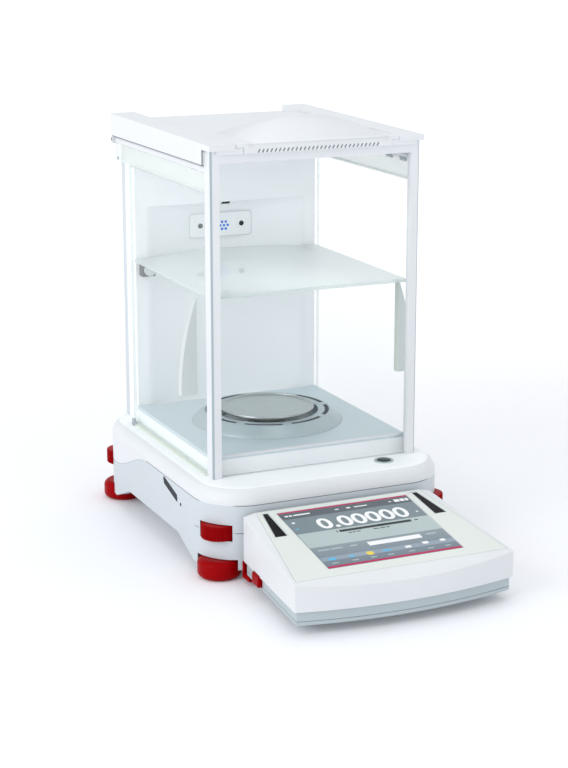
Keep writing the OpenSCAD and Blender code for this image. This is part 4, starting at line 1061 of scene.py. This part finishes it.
class BALANCE_OT_shield(bpy.types.Operator):
    """Front frame and pane, rear wall and rear cover"""

    bl_idname = "balance.shield"
    bl_label = "Draught shield"

    def execute(self, context):
        sizes = context.scene.balance_sizes
        rear, foot, half = span("rear_cover", "y")[1], span("rear_cover", "z")[1] - 52 * MM, 60 * MM

        def on_corner(face):
            """True on the slanted front corners of the posts, which get a darker colour as painted
            shade.
            """
            return 0.55 < abs(face.normal.x) < 0.85 and face.normal.y < -0.5

        def in_vent(face):
            """True on the walls of the vents near the top of the rear cover."""
            x, y, z = face.calc_center_median()
            return (z > foot and abs(x) < half and rear - 3.2 * MM < y < rear - 0.5 * MM
                    and abs(face.normal.y) < 0.4)

        # The posts' slanted corners get the darker trim colour, painted shade.
        refine("front_frame", "white", sizes.frame_edge, picks={"trim": on_corner})
        pane("front_glass", "pane", "y", sizes.glass_edge)
        # The rear wall gets the chamber's lighter white, painted light.
        refine("rear_wall", "wall", sizes.frame_edge)
        # The walls of the vents get the dark slot colour, painted shadow.
        refine("rear_cover", "grey", sizes.metal_edge, picks={"shadow": in_vent})
        self.wall_slot()
        return {"FINISHED"}

    def wall_slot(self):
        """Slanted dark slot in the hollow of the rear wall, above the ionizer: a dark sheet of painted
        shade.
        """
        plate, start = span("ionizer_plate", "z")[1], span("front_glass", "y")[1]
        left, right, top, low = 2.0 * MM, 10.6 * MM, plate + 8.6 * MM, plate + 6.5 * MM
        corner, across, along = (surface("rear_wall", (x, start, z), (0, 1, 0))
                                 for x, z in ((left, top), (right, top), (left, low)))
        sheet = Sheet(corner, across - corner, along - corner)
        slot = sheet.slab([(0.10, 0.0), (1.0, 0.0), (0.90, 1.0), (0.0, 1.0)], -0.3 * MM, 0.1 * MM)
        trim("wall_slot", slot, "window", "rear_wall")


class BALANCE_OT_lid(bpy.types.Operator):
    """Lid frame and sliding top door"""

    bl_idname = "balance.lid"
    bl_label = "Lid"

    def execute(self, context):
        sizes = context.scene.balance_sizes
        refine("lid_frame", "white", sizes.frame_edge)
        front, low = span("top_door", "y")[0], span("top_door", "z")[0]

        def in_rib(face):
            """True between the ribs of the top door's lip."""
            _, y, z = face.calc_center_median()
            return 0.02 * MM < y - front < 1.2 * MM and 0.1 * MM < z - low < 4.0 * MM

        # The faces between the ribs get the darker seam colour, painted shade.
        refine("top_door", "white", 0.0, picks={"seam": in_rib})
        for side, sign in SIDES.items():
            self.seam(side, sign, sizes)
            self.filler(side, sign)
        return {"FINISHED"}

    def seam(self, side, sign, sizes):
        """Dark gap round the skirt: along its lower edge, up its front end, and over the post."""
        wide, (front, rear) = span("lid_frame", "x")[1], span("lid_frame", "y")
        post, middle = span("front_frame", "z")[1], sum(span("front_frame", "y")) / 2
        gap, thin, deep = sizes.seam_w, 0.08 * MM, 0.6 * MM
        probe = sign * (wide - 0.5 * MM)
        low = surface("lid_frame", (probe, 0.0, 0.0), (0, 0, 1)).z
        end = surface("lid_frame", (probe, front - 10 * MM, post - 4 * MM), (0, 1, 0)).y
        near, far = sign * (wide - deep), sign * (wide + thin)
        parts = [bar(oblong(near, low - thin, far, low + gap), "y", end - gap, rear - 4 * MM),
                 bar(oblong(near, end - gap, far, end + thin), "z", low - thin, post),
                 bar(oblong(near, post - gap, far, post + thin), "y", middle, end)]
        trim(side + "_lid_seam", join(parts), "line", "lid_frame")

    def filler(self, side, sign):
        """Closes the gap beside the top door's lip, over the front beam."""
        lip, tall, edge, sunk = 63.5 * MM, 4.9 * MM, 0.6 * MM, 0.3 * MM
        low, front = span("top_door", "z")[0] - sunk, span("lid_frame", "y")[0] + edge
        rear = span("front_frame", "y")[0] + 3 * MM
        outline = oblong(front, low, rear, low + tall, [edge, 0, 0, 0])
        start, end = sorted((sign * lip, sign * span("front_glass", "x")[1]))
        trim(side + "_lid_filler", bar(outline, "x", start, end), "white", "lid_frame")


class BALANCE_OT_doors(bpy.types.Operator):
    """Side doors with their rails, glass and handles"""

    bl_idname = "balance.doors"
    bl_label = "Side doors"

    def execute(self, context):
        sizes = context.scene.balance_sizes
        for side, sign in SIDES.items():
            refine(side + "_door_rail", "white", sizes.metal_edge)
            pane(side + "_upper_glass", "strip", "x", sizes.glass_edge)
            pane(side + "_door_glass", "pane", "x", sizes.glass_edge)
            # The handle's root at the glass gets the pale sill colour, painted light over its shade.
            root = max(map(abs, span(side + "_door_glass", "x"))) + 0.4 * MM
            refine(side + "_door_handle", "handle", sizes.housing_edge,
                   picks={"root": lambda face: abs(face.calc_center_median().x) < root})
            self.clips(side, sign, sizes)
            self.hinge_marks(side, sign)
        return {"FINISHED"}

    def clips(self, side, sign, sizes):
        """Two small clips that hold the strip to its rail."""
        inner = sign * min(map(abs, span(side + "_upper_glass", "x")))
        top, half, edge = span(side + "_upper_glass", "z")[1], 1.5 * MM, 0.4 * MM
        outline = oblong(inner - sign * sizes.clip_t, top - half, inner, top + half, [edge, 0, 0, edge])
        frame_rear = span("front_frame", "y")[1]
        starts = frame_rear + 4 * MM, frame_rear + 28 * MM
        parts = [bar(outline, "y", start, start + sizes.clip_l, 0.2 * MM) for start in starts]
        trim(side + "_strip_clips", join(parts), "seam", side + "_upper_glass")

    def hinge_marks(self, side, sign):
        """Pin of the hinge in the lid's ear, and a screw in the strip."""
        strip, rear = side + "_upper_glass", span("lid_frame", "y")[1]
        ear, axis = max(span("lid_frame", "x")), sum(span(side + "_door_rail", "z")) / 2
        wall, low = max(map(abs, span(strip, "x"))), span(strip, "z")[0]
        pin = [(1.6 * MM, sign * (ear - 0.4 * MM)), (1.6 * MM, sign * ear),
               (1.2 * MM, sign * (ear + 0.25 * MM))]
        head = [(1.3 * MM, sign * (wall - 0.3 * MM)), (1.3 * MM, sign * (wall + 0.15 * MM)),
                (0.9 * MM, sign * (wall + 0.3 * MM))]
        at_pin, at_screw = (0.0, rear - 2.0 * MM, axis), (0.0, rear - 10.5 * MM, low + 2.5 * MM)
        trim(side + "_hinge_pin", lathe(pin, at_pin, 24, axis="x"), "line", "lid_frame")
        trim(side + "_strip_screw", lathe(head, at_screw, 24, axis="x"), "line", strip)


class BALANCE_OT_chamber(bpy.types.Operator):
    """Floor, draught ring, pan, shelf and ionizer"""

    bl_idname = "balance.chamber"
    bl_label = "Weighing chamber"

    def execute(self, context):
        sizes = context.scene.balance_sizes
        refine("floor_plate", "floor_metal", sizes.metal_edge)
        self.ring(sizes)
        refine("weighing_pan", "pan", sizes.metal_edge)
        self.rim(sizes)
        paint_node("pan_stem", "steel")
        pane("shelf", "shelf", "z", sizes.glass_edge)
        refine("shelf_brackets", "black", sizes.metal_edge)
        for side in SIDES:
            refine(side + "_clamp_knob", "handle", sizes.metal_edge)
        self.lips(sizes)
        self.ionizer(sizes)
        return {"FINISHED"}

    def rim(self, sizes):
        """Rolled rim of the pan."""
        roll, top = sizes.pan_roll, span("weighing_pan", "z")[1]
        radius = radius_of("weighing_pan") - roll
        profile = [(radius + roll * math.cos(a), top - roll / 4 + roll * math.sin(a))
                   for a in angles(10)]
        bead = lathe(profile, middle_of("weighing_pan"), 96, close=True)
        trim("pan_rim", bead, "steel", "weighing_pan")

    def ring(self, sizes):
        """Draught ring whose slots get painted shadow on their walls and dark sheets over them, with a
        painted shadow line round its foot.
        """
        centre, outer = Vector(middle_of("draught_ring")[:2]), radius_of("draught_ring")
        top, floor = span("draught_ring", "z")[1], span("floor_plate", "z")[1]
        inner = outer - 20 * MM
        slot_near, slot_far, pitch, sweep, steps = inner + 5.8 * MM, inner + 9.3 * MM, 45, 36, 12

        def in_slot(face):
            """True on the walls of the slots, which get painted shadow."""
            from_inner = (face.calc_center_median().xy - centre).length - inner
            return 4 * MM < from_inner < 11 * MM and abs(face.normal.z) < 0.5

        refine("draught_ring", "bright", sizes.slot_edge, 2, picks={"shadow": in_slot})
        # Painted shadow: thin dark sheets over the slots' openings.
        parts = []
        for start in range(0, 360, pitch):
            turns = [math.radians(start + sweep * k / steps) for k in range(steps + 1)]
            outline = [centre + r * Vector((math.cos(a), math.sin(a)))
                       for r, way in ((slot_near, 1), (slot_far, -1)) for a in turns[::way]]
            parts.append(bar(outline, "z", top - 0.2 * MM, top + 0.03 * MM))
        trim("ring_slots", join(parts), "shadow", "draught_ring")
        # Painted shadow: a thin dark ring on the floor round the ring's foot.
        half, thin = 0.4 * MM, 0.1 * MM
        line = oblong(outer - half, floor - thin, outer + half, floor + thin)
        trim("ring_foot", lathe(line, (*centre, 0.0), 96, close=True), "seam", "draught_ring")

    def lips(self, sizes):
        """White half-round lips along the front and the rear of the chamber floor."""
        (x0, x1), (front, rear), (_, top) = (span("floor_plate", axis) for axis in "xyz")
        axis, radius = top - 1.2 * MM, sizes.lip_r
        for name, y, low, high in (("front_lip", front - 0.2 * MM, x0 + 5 * MM, x1 - 5 * MM),
                                   ("rear_lip", rear - 1.6 * MM, x0 + 18 * MM, x1 - 9 * MM)):
            arc = [(y + radius * math.cos(a), axis + radius * math.sin(a))
                   for a in (*angles(10, math.pi), math.pi)]
            trim(name, bar(arc, "x", low, high, 0.25 * MM), "white", "floor_plate")

    def ionizer(self, sizes):
        """Plate with a fine line and blue dots, and its nozzles."""
        # The plate and the nozzles get the chamber's lighter white, painted light.
        refine("ionizer_plate", "wall", sizes.metal_edge)
        refine("ionizer_nozzles", "wall", sizes.metal_edge)
        (left, right), (tip, _), (low, high) = (span("ionizer_nozzles", axis) for axis in "xyz")
        nozzle, axis = (high - low) / 2, (low + high) / 2
        # Painted shade: dark plugs in the nozzles' tips stand for the dark of their holes.
        hole = [(0.55 * nozzle, tip + 0.4 * MM), (0.55 * nozzle, tip - 0.02 * MM),
                (0.3 * nozzle, tip - 0.05 * MM)]
        holes = [lathe(hole, (x, 0.0, axis), 24, axis="y") for x in (left + nozzle, right - nozzle)]
        trim("nozzle_holes", join(holes), "window", "ionizer_nozzles")

        (x0, x1), (front, _), (z0, z1) = (span("ionizer_plate", axis) for axis in "xyz")
        plate = Sheet((x0, front, z1), (x1 - x0, 0, 0), (0, 0, z0 - z1))
        sunk, proud = -0.1 * MM, 0.06 * MM
        outer, inner = (plate.outline(gap, 2.6 * gap, 1 - gap, 1 - 2.6 * gap, 3.0 * MM)
                        for gap in (0.004, 0.013))
        rings = [[plate.at(u, v, lift) for u, v in outline]
                 for outline, lift in ((outer, sunk), (inner, sunk), (inner, proud), (outer, proud))]
        trim("ionizer_line", loft(rings, close=True), "grey", "ionizer_plate")

        middle = Vector(((x0 + x1) / 2 + 3.2 * MM, 0.0, (z0 + z1) / 2 - 1.0 * MM))
        spread, radius, flat = 3.6 * MM, 1.25 * MM, 0.9 * MM
        spots = [middle] + [middle + Vector((math.cos(a), 0.0, math.sin(a))) * spread
                            for a in angles(6)]
        profile = [(radius, front + 0.1 * MM), (radius, front - 0.05 * MM), (flat, front - 0.12 * MM)]
        dots = [lathe(profile, spot, 20, axis="y") for spot in spots]
        trim("ionizer_dots", join(dots), "dots", "ionizer_plate")


class BALANCE_OT_terminal(bpy.types.Operator):
    """Terminal housings, release buttons, dock hooks, feet and sensor windows"""

    bl_idname = "balance.terminal"
    bl_label = "Terminal"

    def execute(self, context):
        sizes = context.scene.balance_sizes
        up = top_sheet("touch_glass").out
        level, least = math.cos(math.radians(3)), 100 * MM * MM

        def on_inlay(face):
            """True on the large sloping faces round the touch glass."""
            return face.normal.dot(up) > level and face.calc_area() > least

        refine("terminal_top", "white", sizes.terminal_edge, 4, {"cream": on_inlay}, sizes.line_w)
        # The lower housing gets a darker grey, painted shade under the overhang.
        refine("terminal_bottom", "under", sizes.housing_edge)
        low, seam = span("terminal_bottom", "z")[0], span("terminal_top", "z")[0]
        for name, start, end in (("terminal_gap", seam - 0.7 * MM, seam - 0.02 * MM),
                                 ("terminal_line", low + 2.9 * MM, low + 3.4 * MM)):
            gap = band("terminal_bottom", start, end, 0.05 * MM)
            trim(name, gap, "line", "terminal_bottom")
        refine("terminal_feet", "rubber", sizes.metal_edge)
        refine("terminal_sensors", "window", sizes.glass_edge)
        refine("dock_hooks", "red", sizes.housing_edge)
        for side in SIDES:
            refine(side + "_release_button", "red", sizes.housing_edge)
        return {"FINISHED"}


class BALANCE_OT_screen(bpy.types.Operator):
    """Touch glass and what it shows"""

    bl_idname = "balance.screen"
    bl_label = "Screen"

    # Heights of what the glass shows, in layers
    BAND, GLOW, MARK = 1, 1.5, 2
    # Areas by finish and height: left, rear, right and front edge as shares of the glass
    AREAS = {
        ("lit_red", BAND): ((0.0, 0.0, 1.0, 0.022), (0.0, 0.972, 1.0, 1.0)),
        ("lit_head", BAND): ((0.0, 0.022, 1.0, 0.13),),
        ("lit_band", BAND): ((0.0, 0.13, 1.0, 0.40),),
        ("lit_pale", BAND): ((0.0, 0.40, 1.0, 0.648),),
        ("lit_blue", BAND): ((0.0, 0.648, 1.0, 0.972),),
        ("lit_glow", GLOW): ((0.0, 0.825, 1.0, 0.885),),
        ("lit_dark", MARK): (
            (0.30, 0.425, 0.85, 0.462), (0.278, 0.43, 0.286, 0.46), (0.876, 0.437, 0.90, 0.452),
            (0.351, 0.484, 0.380, 0.496), (0.386, 0.484, 0.402, 0.496), (0.410, 0.484, 0.441, 0.496),
            (0.538, 0.484, 0.580, 0.496), (0.588, 0.484, 0.630, 0.496), (0.638, 0.484, 0.663, 0.496),
        ),
        ("lit_white", MARK): (
            (0.03, 0.064, 0.055, 0.086), (0.062, 0.064, 0.085, 0.086), (0.095, 0.064, 0.22, 0.084),
            (0.41, 0.070, 0.44, 0.084), (0.50, 0.066, 0.53, 0.086), (0.56, 0.070, 0.66, 0.084),
            (0.83, 0.072, 0.85, 0.084), (0.875, 0.052, 0.915, 0.096), (0.922, 0.052, 0.955, 0.096),
            (0.962, 0.052, 0.985, 0.096), (0.036, 0.19, 0.058, 0.213), (0.948, 0.30, 0.964, 0.316),
            (0.405, 0.685, 0.805, 0.748), (0.625, 0.84, 0.668, 0.872), (0.765, 0.815, 0.808, 0.852),
            (0.900, 0.815, 0.938, 0.850),
        ),
        ("lit_pale", MARK): (
            (0.036, 0.70, 0.12, 0.716), (0.13, 0.70, 0.216, 0.716), (0.274, 0.695, 0.325, 0.712),
            (0.85, 0.695, 0.925, 0.711), (0.052, 0.925, 0.098, 0.937), (0.20, 0.925, 0.246, 0.937),
            (0.335, 0.925, 0.381, 0.937), (0.462, 0.925, 0.508, 0.937), (0.622, 0.925, 0.668, 0.937),
            (0.762, 0.925, 0.808, 0.937), (0.895, 0.925, 0.938, 0.937),
        ),
        ("lit_cyan", MARK): (
            (0.022, 0.304, 0.052, 0.318), (0.050, 0.845, 0.105, 0.885), (0.202, 0.850, 0.242, 0.880),
            (0.455, 0.845, 0.515, 0.872),
        ),
    }
    # The yellow key and the digits of the value
    KEY = (0.332, 0.835, 0.384, 0.892)
    VALUE = (0.20, 0.19, 0.89, 0.372)

    def execute(self, context):
        sizes = context.scene.balance_sizes
        refine("touch_glass", "screen", sizes.glass_edge)
        paint_node("display_module", "black")
        sheet = top_sheet("touch_glass")
        sunk, mark = -0.05 * MM, self.MARK * sizes.layer_t

        def slab(area, radius, height):
            return sheet.slab(sheet.outline(*area, radius), sunk, height)

        for (finish, layer), areas in self.AREAS.items():
            radius = 0.25 * MM if layer > self.BAND else 0.02 * MM
            parts = [slab(area, radius, layer * sizes.layer_t) for area in areas]
            trim(f"screen_{finish}_{int(layer)}", join(parts), finish, "touch_glass")
        trim("screen_key", slab(self.KEY, 2.0 * MM, mark), "lit_yellow", "touch_glass")
        value = sheet.digits("0.00000", *self.VALUE, sunk, mark, 0.022)
        trim("screen_value", value, "lit_white", "touch_glass")
        return {"FINISHED"}


class BALANCE_OT_weigh_cell(bpy.types.Operator):
    """Finishes of the weigh cell and the other pieces inside the base"""

    bl_idname = "balance.weigh_cell"
    bl_label = "Weigh cell"

    def execute(self, context):
        for finish, nodes in (("cell", ("cell_block", "load_lever")), ("copper", ("force_coil",)),
                              ("steel", ("magnet_pot", "calibration_weight")),
                              ("board", ("position_sensor", "main_board")),
                              ("white", ("calibration_lifter",)), ("brass", ("lifter_screw",)),
                              ("black", ("lifter_motor",))):
            for node in nodes:
                paint_node(node, finish)
        return {"FINISHED"}


OPERATORS = (BALANCE_OT_stage, BALANCE_OT_base, BALANCE_OT_feet, BALANCE_OT_shield, BALANCE_OT_lid,
             BALANCE_OT_doors, BALANCE_OT_chamber, BALANCE_OT_terminal, BALANCE_OT_screen,
             BALANCE_OT_weigh_cell)


class BALANCE_PT_pieces(bpy.types.Panel):
    """Lists the pieces of the balance"""

    bl_idname = "BALANCE_PT_pieces"
    bl_label = "Balance"
    bl_space_type = "VIEW_3D"
    bl_region_type = "UI"
    bl_category = "Balance"

    def draw(self, context):
        for operator in OPERATORS:
            self.layout.operator(operator.bl_idname)


GROUPS = {"balance_colours": BalanceColours, "balance_sizes": BalanceSizes,
          "balance_stage": BalanceStage}


def register():
    """Registers the properties, the operators and the panel."""
    for group in GROUPS.values():
        bpy.utils.register_class(group)
    for name, group in GROUPS.items():
        setattr(bpy.types.Scene, name, PointerProperty(type=group))
    for operator in OPERATORS:
        bpy.utils.register_class(operator)
    bpy.utils.register_class(BALANCE_PT_pieces)


def unregister():
    """Takes back what register adds."""
    bpy.utils.unregister_class(BALANCE_PT_pieces)
    for operator in reversed(OPERATORS):
        bpy.utils.unregister_class(operator)
    for name, group in GROUPS.items():
        delattr(bpy.types.Scene, name)
        bpy.utils.unregister_class(group)


def main():
    """Builds the balance."""
    register()
    FINISH.update(build_finishes(bpy.context.scene.balance_colours))
    for operator in OPERATORS:
        kind, name = operator.bl_idname.split(".")
        getattr(getattr(bpy.ops, kind), name)()
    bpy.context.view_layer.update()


if __name__ == "__main__":
    main()
